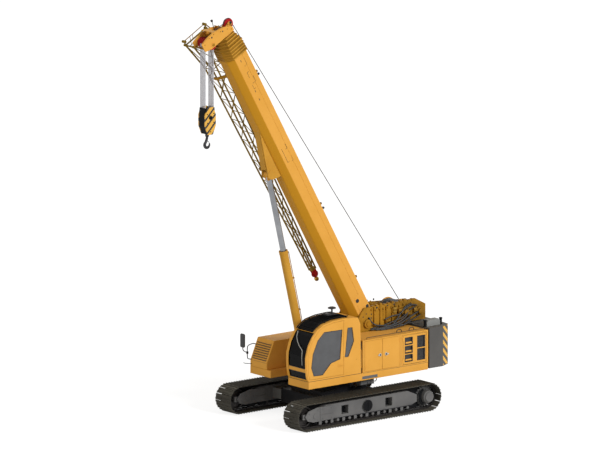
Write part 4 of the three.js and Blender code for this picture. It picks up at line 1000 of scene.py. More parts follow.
top_plate.done("winch_frame_top", OILED_AND_SHADED_YELLOW, "superstructure", 0.004)

# ------------------------------------------------------------------ counterweight
refined("counterweight", BALLAST, 0.02)
ballast = Shape()
posts = Shape()
for side in (-1, 1):
    cap = [(-3.222, 2.378), (-2.718, 2.378), (-2.718, 2.522), (-2.778, 2.572), (-3.162, 2.572),
           (-3.222, 2.522)]
    ballast.prism(cap, *sorted((side * 1.048, side * 1.252)))
    for x in (-2.69, -3.29):
        posts.turned([(0.05, 2.37), (0.05, 2.39), (0.042, 2.395), (0.042, 2.54), (0.052, 2.545),
                      (0.052, 2.578), (0.04, 2.584)],
                     (x, side * 1.19, 0), "z", 24)
ballast.done("ballast_caps", LIT_BALLAST_CAP, "superstructure", 0.012)
posts.done("ballast_posts", DEEP_BLACK, "superstructure")
chevrons = Shape()
for side in (-1, 1):
    a, b = Vector((-3.16, side * 1.45, 0)), Vector((-3.5, side * 1.27, 0))
    run = (b - a).normalized()
    normal = Vector((run.y, -run.x, 0)) * (1 if run.x * side > 0 else -1)
    if normal.y * side < 0:
        normal = -normal
    # a thin plate on the ballast's slanting corner
    rows = ((1.19, -0.002), (2.36, -0.002), (2.36, 0.002), (1.19, 0.002))
    chevrons.skin([chevrons.ring([at + normal * d + Vector((0, 0, z)) for z, d in rows])
                   for at in (a + run * 0.02, b - run * 0.02)])
for y in ((-0.54, -0.30), (0.30, 0.54)):
    chevrons.block((-3.5835, -3.5795), y, (1.3, 2.3))
chevrons.done("ballast_bands", BALLAST_BANDS, "superstructure")
rear_lamps = Shape()
for side in (-1, 1):
    rear_lamps.block((-3.595, -3.575), sorted((side * 0.1, side * 0.24)), (1.24, 1.31))
rear_lamps.done("rear_lamps", LAMP_RED, "superstructure", 0.006)

# ------------------------------------------------------------------ cab
refined("cab_shell", YELLOW, 0.010)
refined("cab_door", YELLOW, 0.005)
for node, glass in (("door_glass", SIDE_GLASS), ("rear_side_glass", SIDE_GLASS),
                    ("right_side_glass", SIDE_GLASS),
                    ("back_glass", SIDE_GLASS), ("windscreen", SHADED_SCREEN_GLASS),
                    ("lower_windscreen", SHADED_SCREEN_GLASS)):
    pane = frame["nodes"][node]
    pane.data.materials.clear()
    pane.data.materials.append(glass)
CAB_OUTLINE = [(1.92, 1.3653), (1.985, 1.65), (2.0, 2.12), (1.905, 2.44), (1.75, 2.7), (1.58, 2.88),
               (1.36, 3.01), (1.0, 3.08), (0.55, 3.1), (0.06, 3.06)]
DOOR_WINDOW = [(1.4, 1.52), (1.73, 1.53), (1.82, 1.79), (1.76, 2.18), (1.58, 2.57), (1.34, 2.79),
               (0.66, 2.78), (0.74, 1.91), (1.08, 1.83)]
REAR_WINDOW = [(0.55, 1.94), (0.45, 2.81), (0.28, 2.8), (0.22, 2.38), (0.43, 1.94)]


def over_outline(x, lift):
    """A point lift metres outside the cab's side outline, at a place x along it."""
    rows = sorted(CAB_OUTLINE[3:])
    for (x0, z0), (x1, z1) in zip(rows, rows[1:]):
        if x0 <= x <= x1:
            run = Vector((x1 - x0, z1 - z0)).normalized()
            z = z0 + (z1 - z0) * (x - x0) / (x1 - x0)
            return x - run.y * lift, z + run.x * lift, math.atan2(run.y, run.x)
    return x, rows[-1][1] + lift, 0.0


def front_of_cab(z):
    """Where the cab's front outline is at a height."""
    for (x0, z0), (x1, z1) in zip(CAB_OUTLINE, CAB_OUTLINE[1:]):
        if z0 <= z <= z1:
            return x0 + (x1 - x0) * (z - z0) / (z1 - z0)
    return CAB_OUTLINE[0][0]


seals = Shape()
for window in (DOOR_WINDOW, REAR_WINDOW):
    seals.tube([(x, 1.4505, z) for x, z in window], 0.007, 6, closed=True)
for z0, z1 in ((1.44, 1.64), (1.76, 2.88)):
    for y in (0.572, 1.388):
        heights = [z0 + (z1 - z0) * i / 10 for i in range(11)]
        seals.tube([(front_of_cab(z) + 0.001, y, z) for z in heights], 0.008, 6)
    for z in (z0, z1):
        seals.tube([(front_of_cab(z) + 0.001, 0.572, z), (front_of_cab(z) + 0.001, 1.388, z)], 0.008, 6)
seals.done("window_seals", SEAL, "superstructure")
door_fittings = Shape()
plate = [(0.64, 1.67), (0.80, 1.67), (0.82, 1.69), (0.82, 1.74), (0.80, 1.76), (0.64, 1.76), (0.62, 1.74),
         (0.62, 1.69)]
door_fittings.prism(plate, LEFT + 0.001, LEFT + 0.008)
door_fittings.tube([(0.65, LEFT + 0.006, 1.72), (0.65, LEFT + 0.024, 1.72), (0.77, LEFT + 0.024, 1.72)],
                   0.009, 8)
door_fittings.done("cab_door_handle", YELLOW, "cab_door", 0.002)
bars = Shape()
post = [(front_of_cab(z), z) for z in [1.42 + 1.46 * i / 14 for i in range(15)]]
for y0, y1 in ((0.512, 0.61), (1.394, 1.446)):
    bars.skin([bars.ring([(x + 0.004, y0, z), (x + 0.02, y0 + 0.004, z), (x + 0.02, y1 - 0.004, z),
                          (x + 0.004, y1, z)]) for x, z in post])
header = [(front_of_cab(z) + 0.022, z) for z in (2.80, 2.86, 2.92)]
bars.skin([bars.ring([(x, 0.512, z), (x, 1.446, z), (x - 0.014, 1.446, z - 0.01),
                      (x - 0.014, 0.512, z - 0.01)]) for x, z in header])
bars.done("windscreen_frame", YELLOW, "superstructure")
wiper = Shape()
wiper.tube(smooth_path([(1.73, 0.72, 2.77), (1.84, 0.80, 2.62), (1.93, 0.98, 2.45), (1.99, 1.20, 2.33),
                        (2.01, 1.26, 2.28)]), 0.008, 8)
wiper.tube([(2.005, 1.255, 2.30), (2.025, 1.26, 2.12), (2.018, 1.26, 1.86)], 0.007, 6)
wiper.done("windscreen_wiper", ZINC, "superstructure")
rails = Shape()
rails.tube(smooth_path([(1.93, 1.43, 1.44), (2.0, 1.44, 1.5), (2.03, 1.44, 1.8), (2.035, 1.44, 2.05),
                        (2.0, 1.43, 2.14)], 5), 0.012, 8)
rails.tube(smooth_path([(-0.07, 1.40, 1.5), (-0.09, 1.43, 1.6), (-0.09, 1.43, 2.0), (-0.07, 1.40, 2.1)], 5),
           0.010, 8)
rails.done("cab_grab_rails", YELLOW, "superstructure")
plinth = Shape()
plinth.block((-0.05, 1.91), (1.4502, 1.4515), (1.372, 1.382))
plinth.block((1.925, 1.927), (0.55, 1.41), (1.372, 1.382))
plinth.done("cab_foot_joint", SEAL, "superstructure")
guard = Shape()
ROOF = (1.66, 1.60, 1.48, 1.36, 1.20, 1.0, 0.8, 0.55, 0.35)
rows = [over_outline(x, 0.05) for x in ROOF]
for y in (0.60, 1.33):
    guard.tube([(x, y, z) for x, z, _ in rows], 0.014, 8)
for x in (0.42, 1.22):
    for y in (0.605, 1.325):
        px, pz, _ = over_outline(x, 0.0)
        guard.block((px - 0.018, px + 0.018), (y - 0.012, y + 0.012), (pz - 0.006, pz + 0.05))
count = 40
for i in range(count):
    x = 0.38 + (1.65 - 0.38) * (i + 0.5) / count
    px, pz, tilt = over_outline(x, 0.048)
    c, s = math.cos(tilt + 0.45), math.sin(tilt + 0.45)
    half, thick = 0.019, 0.003
    corners = [(-half, -thick), (half, -thick), (half, thick), (-half, thick)]
    guard.prism([(px + a * c - b * s, pz + a * s + b * c) for a, b in corners], 0.604, 1.326)
# a black sheet beneath the slats: painted shade in the gaps between them
sheet = [over_outline(x, 0.012) for x in ROOF]
guard.skin([guard.ring([(x, 0.61, z), (x, 1.32, z), (x, 1.32, z + 0.006), (x, 0.61, z + 0.006)])
            for x, z, _ in sheet])
guard.done("roof_guard_slats", DEEP_BLACK, "superstructure", replaces=("roof_guard",))
horn = Shape()
horn.turned([(0.045, 3.165), (0.06, 3.2), (0.05, 3.215), (0.026, 3.225), (0.026, 3.31), (0.06, 3.322),
             (0.115, 3.335), (0.124, 3.345),
             (0.124, 3.358), (0.10, 3.374), (0.05, 3.388), (0.0, 3.39)], (0.65, 0.96, 0), "z", 36)
horn.prism([(0.50, 0.84), (0.90, 0.84), (0.90, 1.08), (0.50, 1.08)], 3.164, 3.186, "xy")
horn.block((0.80, 0.90), (0.87, 1.05), (3.18, 3.21))
horn.done("roof_horn", PLASTIC, "superstructure", 0.003, replaces=("horn",))


def cushion(name, x, y, z):
    """A foam cushion with a crowned top and pressed-in corners."""
    shape = Shape()
    bmesh.ops.create_cube(shape.mesh, size=2)
    bmesh.ops.subdivide_edges(shape.mesh, edges=shape.mesh.edges, cuts=9, use_grid_fill=True)
    for vertex in shape.mesh.verts:
        p = vertex.co
        p = p / sum(abs(v) ** 5 for v in p) ** 0.2
        low, high = machine(x[0], y[0], z[0]), machine(x[1], y[1], z[1])
        vertex.co = [(a + b) / 2 + (b - a) / 2 * v for a, b, v in zip(low, high, p)]
    piece = shape.done(name, CLOTH, "superstructure", smooth=180)
    return piece


seat_floor = extent("operator_seat", machine)[0].z
cushion("seat_base_cushion", (0.46, 1.0), (0.76, 1.21), (1.86, 2.0))
cushion("seat_back_cushion", (0.38, 0.52), (0.77, 1.20), (1.95, 2.42))
cushion("seat_head_cushion", (0.385, 0.475), (0.86, 1.11), (2.40, 2.53))
seat = Shape()
seat.block((0.42, 0.98), (0.78, 1.19), (1.82, 1.88))
seat.block((0.345, 0.40), (0.80, 1.17), (1.86, 2.40))
seat.block((0.5, 0.9), (0.86, 1.11), (seat_floor, seat_floor + 0.05))
seat.block((0.56, 0.84), (0.91, 1.06), (seat_floor + 0.04, 1.84))
for k in range(6):
    z = seat_floor + 0.07 + k * 0.05
    seat.block((0.545, 0.855), (0.90, 1.07), (z, z + 0.028))
for y in (0.70, 1.27):
    seat.block((0.48, 0.95), (y - 0.045, y + 0.045), (2.06, 2.10))
    seat.block((0.50, 0.56), (y - 0.03, y + 0.03), (1.86, 2.07))
    seat.tube([(0.90, y, 2.09), (0.91, y, 2.16), (0.905, y, 2.20)], [0.012, 0.013, 0.022], 10)
seat.done("seat_frame", PLASTIC, "superstructure", 0.006, replaces=("operator_seat",))
refined("console", PLASTIC, 0.015)
controls = Shape()
for y in (0.86, 0.98, 1.10):
    controls.tube([(1.5, y, 1.95), (1.49, y, 2.08), (1.485, y, 2.12)], [0.008, 0.008, 0.02], 8)
controls.block((1.56, 1.60), (0.84, 1.12), (1.95, 2.14))
controls.done("console_controls", DARK_STEEL, "superstructure", 0.003)

# ------------------------------------------------------------------ telescopic boom
def boom_outline(step, grow=0.0):
    """Cross-section, as (y, z) points: flat top and sides, rounded lower corners, narrowing underside."""
    half, top, low = 0.39 - step + grow, 0.42 - step + grow, -0.25 + step - grow
    flat = 0.17 - step * 0.4
    right = [(half - 0.04, top), (half - 0.02, top - 0.006), (half - 0.006, top - 0.02), (half, top - 0.04)]
    right += [(half, low + 0.185), (half - 0.006, low + 0.165), (half - 0.022, low + 0.148)]
    right += [(flat + 0.02, low + 0.012), (flat - 0.01, low)]
    return right + [(-y, z) for y, z in reversed(right)]


def boom_piece(node, body, step, start, end, collar_from, extras=None):
    shape = Shape(on_boom)
    shape.frame(boom_outline(step), boom_outline(step, -0.009), start, end, "yz")
    if extras:
        extras(shape)
    shape.done(f"{node}_finished", YELLOW, body, replaces=(node,), smooth=15)
    # the collar at the mouth, oiled by what slides through it, in the darker coat that is partly painted
    # shade
    collar = Shape(on_boom)
    collar.frame(boom_outline(step, 0.022), boom_outline(step, -0.001), collar_from, end, "yz")
    collar.frame(boom_outline(step, 0.016), boom_outline(step, -0.001), collar_from - 0.05,
                 collar_from + 0.001, "yz")
    collar.done(f"{node}_collar", OILED_AND_SHADED_YELLOW, body, smooth=15)
    ribs = Shape(on_boom)
    for s in (9.83, 9.92, 10.01, 10.11, 10.21) if extras else (end - 0.03,):
        ribs.frame(boom_outline(step, 0.038), boom_outline(step, 0.0), s, s + 0.026, "yz")
    ribs.done(f"{node}_collar_ribs", RIB_HIGHLIGHT_YELLOW, body, smooth=15)


def base_extras(shape):
    # foot wall, side straps and, in the barrel's darker coat as painted shade beneath the boom's overhang,
    # the luffing saddle
    saddle = Shape(on_boom)
    shape.prism(boom_outline(0.004), -0.35, -0.32, "yz")
    for side in (-1, 1):
        y = sorted((side * 0.105, side * 0.145))
        saddle.prism([(5.60, -0.246), (5.70, -0.56), (5.76, -0.625), (5.94, -0.63), (6.02, -0.60),
                      (7.2, -0.246)], *y)
        saddle.turned(handed([(0.13, 0.0), (0.13, 0.012), (0.1, 0.02)], side), (5.85, side * 0.145, -0.53))
        shape.prism([(-0.3, 0.02), (0.85, 0.02), (0.9, 0.06), (0.6, 0.37), (-0.3, 0.37)],
                    *sorted((side * 0.389, side * 0.395)))
        shape.tube([(0.9, side * 0.391, 0.215), (9.9, side * 0.391, 0.215)], 0.0045, 6)
    # a cover plate between the saddle's two plates, ahead of the rod's eye
    saddle.prism([(6.06, -0.60), (6.075, -0.612), (7.2, -0.252), (7.2, -0.24)], -0.11, 0.11)
    saddle.done("luffing_saddle", SHADED_BARREL_YELLOW, "boom", 0.004)


boom_piece("boom_base", "boom", 0.0, -0.35, 10.25, 9.86, base_extras)
brackets = Shape(on_boom)
for s in (5.6, 9.0):
    share = (s - 1.75) / (9.3 - 1.75)
    half = 0.07 + 0.11 * share
    chord_y, chord_z = -1.01 + half, -0.02 * share - half
    low = chord_z - 0.028
    arm = [(-0.385, 0.06), (-0.385, 0.13), (chord_y + 0.046, low), (chord_y - 0.06, low),
           (chord_y - 0.06, low - 0.035), (chord_y + 0.056, low - 0.035)]
    brackets.prism(arm, s - 0.045, s + 0.045, "yz")
    brackets.prism([(-0.397, 0.02), (-0.397, 0.18), (-0.388, 0.18), (-0.388, 0.02)],
                   s - 0.09, s + 0.09, "yz")
brackets.done("jib_brackets", OILED_AND_SHADED_YELLOW, "boom", 0.004)

# each section is this much smaller all round than the one it slides in
STEP = 0.03
for node, index in (("boom_section_2", 1), ("boom_section_3", 2), ("boom_section_4", 3)):
    start = 10.27 + 0.09 * (index - 1)
    boom_piece(node, node, STEP * index, 0.1 + 0.2 * index, start + 0.07, start)
pads = Shape(on_boom)
for y in (-0.24, 0.24):
    pads.block((10.06, 10.2), (y - 0.05, y + 0.05), (0.43, 0.462))
for side in (-1, 1):
    pads.block((10.05, 10.13), sorted((side * 0.40, side * 0.42)), (0.27, 0.31))
    pads.block((10.05, 10.13), sorted((side * 0.40, side * 0.42)), (0.1, 0.14))
pads.done("wear_pad_adjusters", OILED_AND_SHADED_YELLOW, "boom", 0.004)

# rope guides on the boom's top
guides = Shape(on_boom)
for s in (8.87, 3.98, 1.27):
    for y in (-0.13, 0.13):
        guides.prism([(s - 0.09, 0.415), (s + 0.09, 0.415), (s + 0.03, 0.60), (s - 0.03, 0.60)],
                     y - 0.006, y + 0.006)
    guides.turned(mirrored([(0.024, 0.08), (0.034, 0.085), (0.034, 0.12)]), (s, 0, 0.56), sides=16)
    guides.tube([(s, -0.15, 0.59), (s, 0.15, 0.59)], 0.007, 8)
guides.done("rope_guides", OILED_AND_SHADED_YELLOW, "boom", 0.002)
# openings, drawn as dark discs that are painted shade inside them, and the joints of small cover plates on
# its side
side_holes = Shape(on_boom)
for s, t, r in ((0.76, 0.09, 0.06), (0.40, 0.32, 0.055), (0.24, 0.29, 0.036)):
    for side in (-1, 1):
        side_holes.turned([(r, -0.0006), (r, 0.0006)], (s, side * 0.3975, t), sides=24)
for s in (8.2, 8.5, 9.6):
    side_holes.block((s, s + 0.07), (0.390, 0.3912), (0.07, 0.09))
# seams of small cover plates on the boom's left side
for s, t, run, rise in ((9.42, 0.22, 0.24, -0.10), (9.20, 0.10, -0.18, 0.07), (8.80, 0.24, 0.20, -0.12),
                        (8.62, 0.08, 0.14, 0.06),
                        (6.35, 0.20, 0.16, -0.06), (5.90, 0.22, 0.16, -0.06), (5.95, 0.02, 0.5, 0.06)):
    side_holes.tube([(s, 0.3905, t + rise), (s, 0.3905, t), (s + run, 0.3905, t)], 0.005, 6)
side_holes.done("boom_side_openings", SEAL, "boom")
boom_fittings = Shape(on_boom)
for s in (3.9, 8.85):
    boom_fittings.block((s, s + 0.05), (0.28, 0.34), (0.415, 0.50))
for k in range(18):
    s = 0.95 + k * 0.5
    boom_fittings.block((s, s + 0.03), (-0.36, -0.30), (0.416, 0.432))
boom_fittings.tube([(0.6, -0.33, 0.436), (9.9, -0.33, 0.436)], 0.012, 6)
boom_fittings.tube([(0.6, -0.305, 0.434), (9.9, -0.305, 0.434)], 0.009, 6)
boom_fittings.done("boom_cable_run", DARK_STEEL, "boom")

# ------------------------------------------------------------------ boom head and sheaves
# where the head's end wall stands; then the two sheave axles and the sheaves' radius
END = 10.54
head_piece = Shape(on_boom)
head_step = STEP * 4
head_piece.frame(boom_outline(head_step), boom_outline(head_step, -0.009), 0.9, 10.56, "yz")
y_head = 0.39 - head_step
LOWER, UPPER, REACH = (10.62, -0.46), (10.66, 0.46), 0.16
low_t, top_t = LOWER[1] + REACH + 0.01, UPPER[1] - REACH - 0.01
wall = [(-y_head - 0.025, low_t), (y_head + 0.025, low_t), (y_head + 0.025, top_t),
        (-y_head - 0.025, top_t)]
head_piece.prism(wall, END, END + 0.03, "yz")
cheek = [(END, LOWER[1] - 0.1), (LOWER[0] - 0.02, LOWER[1] - 0.33), (LOWER[0] + 0.02, LOWER[1] - 0.345),
         (LOWER[0] + 0.24, LOWER[1] - 0.35), (LOWER[0] + 0.27, LOWER[1] - 0.32),
         (LOWER[0] + 0.315, LOWER[1] - 0.08),
         (LOWER[0] + 0.33, LOWER[1] + 0.15), (LOWER[0] + 0.24, LOWER[1] + 0.55),
         (UPPER[0] + 0.02, UPPER[1] - 0.07), (END, UPPER[1] - 0.07)]
far_cheek = [(END + (s - END) * 0.74, -0.2 + (t + 0.2) * 0.86) for s, t in cheek]
for side in (-1, 1):
    inner, outer = side * y_head, side * (y_head + 0.028)
    head_piece.prism(cheek if side > 0 else far_cheek, *sorted((inner, outer)))
    # doubling plate round the sheave axle, a rib on the near cheek, and the top sheave's lugs
    head_piece.prism(arc(*LOWER, 0.07, 0, 345, 23), *sorted((outer - side * 0.002, outer + side * 0.012)))
    if side > 0:
        rib = [(10.88, -0.75), (10.90, -0.75), (10.95, -0.31), (10.86, 0.09), (10.84, 0.08), (10.93, -0.31)]
        head_piece.prism(rib, outer, outer + 0.03)
    lug = [(END + 0.02, UPPER[1] - 0.3), (UPPER[0] - 0.02, UPPER[1] - 0.3),
           *arc(*UPPER, 0.08, -30, 180, 12)]
    head_piece.prism(lug, *sorted((side * 0.062, side * 0.092)))
for t in (-0.2, 0.0, 0.2):
    head_piece.block((END + 0.03, END + 0.2), (-y_head, y_head), (t - 0.006, t + 0.006))
head_piece.prism([(10.80, -0.10), (10.93, -0.30), (10.94, -0.29), (10.82, -0.08)], -y_head, y_head)
head_piece.done("boom_head_finished", YELLOW, "boom_head", 0.004, replaces=("boom_head",))
head_pins = Shape(on_boom)
HEAD_BOLTS = ((10.80, -0.72), (10.88, -0.50), (10.88, -0.30), (10.80, -0.05), (10.72, 0.20), (10.63, 0.32))
for side in (-1, 1):
    y = side * (y_head + 0.040)
    head_pins.turned(handed([(0.045, 0.0), (0.045, 0.01), (0.03, 0.016)], side), (LOWER[0], y, LOWER[1]))
    # the smaller far cheek has room for the upper two bolts only
    for s, t in HEAD_BOLTS if side > 0 else HEAD_BOLTS[-2:]:
        head_pins.turned(handed([(0.014, -0.035), (0.014, 0.0)], side), (s, y, t), sides=6)
head_pins.tube([(UPPER[0], -0.105, UPPER[1]), (UPPER[0], 0.105, UPPER[1])], 0.038, 16)
head_pins.tube([(10.60, -0.28, -0.69), (10.60, 0.28, -0.69)], 0.026, 12)
head_pins.done("head_axles", OILED_AND_SHADED_YELLOW, "boom_head")
# dark slots where the near cheek is open: painted shade inside the openings
slots = Shape(on_boom)
for s, t, c in ((10.84, -0.40, 0.028), (10.76, 0.02, 0.022)):
    slots.prism(arc(s, t, c, 0, 330, 11), y_head + 0.0281, y_head + 0.0292)
slots.done("head_cheek_openings", SEAL, "boom_head")
head_lamps = Shape(on_boom)
for y, s, t in ((0.22, 10.72, 0.42), (-0.24, 10.90, 0.14)):
    head_lamps.tube([(END + 0.02, y, t - 0.06), (s - 0.02, y, t), (s + 0.03, y, t + 0.01)], 0.010, 8)
    head_lamps.turned([(0.02, -0.03), (0.036, -0.01), (0.036, 0.03), (0.02, 0.036)],
                      (s + 0.04, y, t + 0.01), "x", 16)
head_lamps.tube([(END + 0.03, -0.24, 0.30), (END + 0.04, -0.20, 0.36), (END + 0.22, 0.10, 0.10),
                 (END + 0.30, 0.22, -0.05)], 0.011, 6)
head_lamps.done("head_lamps", DARK_STEEL, "boom_head")


def grooved(shape, centre, radius, half_width, count, hub):
    """Sheaves side by side on one axle, each with a rounded rope groove and a dished web."""
    pitch = 2 * half_width / count
    for k in range(count):
        y = centre[1] - half_width + (k + 0.5) * pitch
        h = pitch * 0.46
        profile = [(hub, -h * 0.8), (radius * 0.62, -h * 0.45), (radius - 0.05, -h * 0.45),
                   (radius - 0.035, -h), (radius, -h)]
        for i in range(7):
            a = math.pi * (1 + i / 6)
            profile.append((radius - 0.03 + 0.03 * (1 - abs(math.sin(a))),
                            h * 0.78 * -math.cos(math.pi * i / 6)))
        profile += [(radius, h), (radius - 0.035, h), (radius - 0.05, h * 0.45), (radius * 0.62, h * 0.45),
                    (hub, h * 0.8)]
        shape.turned(profile, (centre[0], y, centre[2]), sides=40)


head_set = Shape(on_boom)
grooved(head_set, (LOWER[0], 0, LOWER[1]), REACH, 0.245, 5, 0.06)
head_set.turned([(0.06, -0.245), (0.06, 0.245)], (LOWER[0], 0, LOWER[1]))
head_set.done("head_sheave_set", RED, frame["nodes"]["head_sheaves"]["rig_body"], replaces=("head_sheaves",))
top_set = Shape(on_boom)
grooved(top_set, (UPPER[0], 0, UPPER[1]), REACH, 0.045, 1, 0.05)
top_set.turned([(0.05, -0.045), (0.05, 0.045)], (UPPER[0], 0, UPPER[1]))
top_set.done("top_sheave_wheel", RED, frame["nodes"]["top_sheave"]["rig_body"], replaces=("top_sheave",))

# ------------------------------------------------------------------ stowed lattice jib
# The lattice widens slowly from TIP to FLARE and fast from there to FOOT.
TIP, FLARE, FOOT, JIB_Y = 1.75, 9.3, 10.33, -1.01


def chord(s, side_y, side_z):
    """A chord's middle at a place along the jib, or the jib's middle where both sides are 0."""
    share = min(1.0, (s - TIP) / (FLARE - TIP))
    flare = max(0.0, (s - FLARE) / (FOOT - FLARE))
    half = 0.07 + 0.11 * share
    half_z = half + (0.43 - half) * flare
    half_y = half + (0.19 - half) * flare
    return Vector((s, JIB_Y + side_y * half_y, -0.02 * share + side_z * half_z))


jib = Shape(on_boom)
CORNERS = [(1, 1), (1, -1), (-1, -1), (-1, 1)]
bays = 20
for corner_y, corner_z in CORNERS:
    jib.tube([chord(s, corner_y, corner_z) for s in (TIP, FLARE - 0.03, FLARE + 0.03, FOOT)], 0.026, 10)
    # forked connector at the foot of each chord
    end = chord(FOOT, corner_y, corner_z)
    jib.turned(mirrored([(0.04, 0.045), (0.034, 0.05)]), end - Vector((0.012, 0, 0)), "y", 16)
    jib.block((FLARE - 0.03, FLARE + 0.03),
              *[(v - 0.032, v + 0.032) for v in chord(FLARE, corner_y, corner_z)[1:]])
for face, (corner_y, corner_z) in enumerate(CORNERS):
    next_y, next_z = CORNERS[(face + 1) % 4]
    for i in range(bays):
        s0 = TIP + (FLARE - TIP) * i / bays
        s1 = TIP + (FLARE - TIP) * (i + 1) / bays
        first, second = (corner_y, corner_z), (next_y, next_z)
        if (i + face) % 2 == 0:
            first, second = second, first
        jib.tube([chord(s0, *first), chord(s1, *second)], 0.011, 8)
    jib.tube([chord(FLARE, corner_y, corner_z), chord(FLARE, next_y, next_z)], 0.014, 8)
    jib.tube([chord(FOOT - 0.02, corner_y, corner_z), chord(FOOT - 0.02, next_y, next_z)], 0.024, 10)
    jib.tube([chord(FLARE, corner_y, corner_z), chord(FOOT - 0.02, next_y, next_z)], 0.012, 8)
tip = chord(TIP, 0, 0)
jib.block((TIP - 0.02, TIP + 0.02), (tip.y - 0.09, tip.y + 0.09), (tip.z - 0.09, tip.z + 0.09))
jib.tube([chord(10.31, 0, -1), chord(10.31, 0, 1)], 0.013, 8)
jib.done("jib_tubes", SHADED_JIB_YELLOW, frame["nodes"]["jib_lattice"]["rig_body"], replaces=("jib_lattice",),
         smooth=40)
jib_foot = Shape(on_boom)
for z in (-0.44, 0.43):
    jib_foot.turned(mirrored([(0.042, 0.065), (0.03, 0.075)]), (10.44, -1.2, z), sides=16)
    jib_foot.tube([(10.31, -1.2, z), (10.44, -1.2, z)], 0.02, 8)
jib_foot.done("jib_foot_forks", SHADED_JIB_YELLOW, "boom", 0.002)
swing_arm = Shape(on_boom)
swing_arm.tube([(10.45, -1.2, -0.42), (10.45, -1.2, 0.41)], 0.013, 8)
swing_arm.tube(smooth_path([(10.44, -1.14, 0.43), (10.38, -0.95, 0.40), (10.27, -0.72, 0.36),
                            (10.16, -0.5, 0.33), (10.14, -0.415, 0.33)]),
               0.018, 8)
for s in (10.2, 10.32):
    swing_arm.tube([(10.44, -1.19, -0.2 + (s - 10.2)), (s, -1.19, -0.26 + (s - 10.2))], 0.008, 6)
swing_arm.done("jib_swing_arm", OILED_AND_SHADED_YELLOW, "boom")
jib_end = Shape(on_boom)
for y in (-1.055, -0.975):
    jib_end.prism([(1.47, -0.055), (1.73, -0.085), (1.73, 0.085), (1.47, 0.055)], y, y + 0.01)
grooved(jib_end, (1.56, JIB_Y, 0), 0.108, 0.03, 1, 0.03)
jib_end.done("jib_tip_sheave", RED, frame["nodes"]["jib_tip"]["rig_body"], 0.002, replaces=("jib_tip",))
ball = Shape(on_boom)
ball.turned([(0.0, -0.07), (0.035, -0.064), (0.06, -0.04), (0.07, 0.0), (0.06, 0.04), (0.035, 0.064),
             (0.0, 0.07)], (1.40, JIB_Y + 0.02, -0.03), "x", 20)
ball.done("jib_head_weight", BRASS, "boom")

# ------------------------------------------------------------------ luffing cylinder
# from the rod's eye to the foot pin on the deck
SPAN = (machine(0.87, 0, 1.55) - EYE).length
rod = Shape(on_cylinder)
rod.turned([(0.05, 0.04), (0.086, 0.06), (0.088, 0.09), (0.088, 3.50)], (0, 0, 0), "x", 48)
rod.done("cylinder_rod_chrome", CHROME, "cylinder_rod", replaces=("cylinder_rod",), smooth=30)
eye = Shape(on_cylinder)
eye.turned(mirrored([(0.105, 0.09), (0.1, 0.096), (0.05, 0.096)]), (0, 0, 0), "y", 40)
eye.prism([(0.05, -0.085), (0.16, -0.085), (0.16, 0.085), (0.05, 0.085)], -0.085, 0.085)
eye.done("rod_eye", YELLOW, "cylinder_rod", 0.006)
top = SPAN - 3.6
tube = Shape(on_cylinder)
tube.turned([(0.09, top + 0.002), (0.131, top), (0.135, top + 0.006), (0.135, top + 0.10),
             (0.128, top + 0.108), (0.128, SPAN - 0.25),
             (0.134, SPAN - 0.24), (0.134, SPAN - 0.17), (0.10, SPAN - 0.165)], (0, 0, 0), "x", 48)
tube.prism([(SPAN - 0.19, -0.11), (SPAN, -0.11), (SPAN, 0.11), (SPAN - 0.19, 0.11)], -0.09, 0.09)
tube.turned(mirrored([(0.11, 0.178), (0.105, 0.184), (0.05, 0.184)]), (SPAN, 0, 0), "y", 40)
for turn in full_turn(12):
    tube.turned([(0.011, -0.008), (0.011, 0.0)], (top + 0.004, 0.112 * math.cos(turn),
                                                  0.112 * math.sin(turn)), "x", 6)
tube.done("cylinder_barrel_finished", SHADED_BARREL_YELLOW, "cylinder_barrel", replaces=("cylinder_barrel",),
          smooth=30)
pipes = Shape(on_cylinder)
for y in (-0.05, 0.05):
    pipes.tube([(SPAN - 0.5, y, 0.128), (SPAN - 0.5, y, 0.148), (top + 0.09, y, 0.148),
                (top + 0.07, y, 0.13)], 0.011, 8)
for at in (0.9, 1.9, 2.8):
    pipes.block((top + at, top + at + 0.03), (-0.075, 0.075), (0.122, 0.163))
pipes.block((SPAN - 0.62, SPAN - 0.42), (-0.07, 0.07), (0.12, 0.19))
pipes.done("cylinder_pipes", OILED_AND_SHADED_YELLOW, "cylinder_barrel", 0.002)
wiper_ring = Shape(on_cylinder)
wiper_ring.turned([(0.089, top - 0.012), (0.102, top - 0.010), (0.106, top + 0.003), (0.089, top + 0.003)],
                  (0, 0, 0), "x", 40)
wiper_ring.done("rod_wiper_seal", SEAL, "cylinder_barrel")

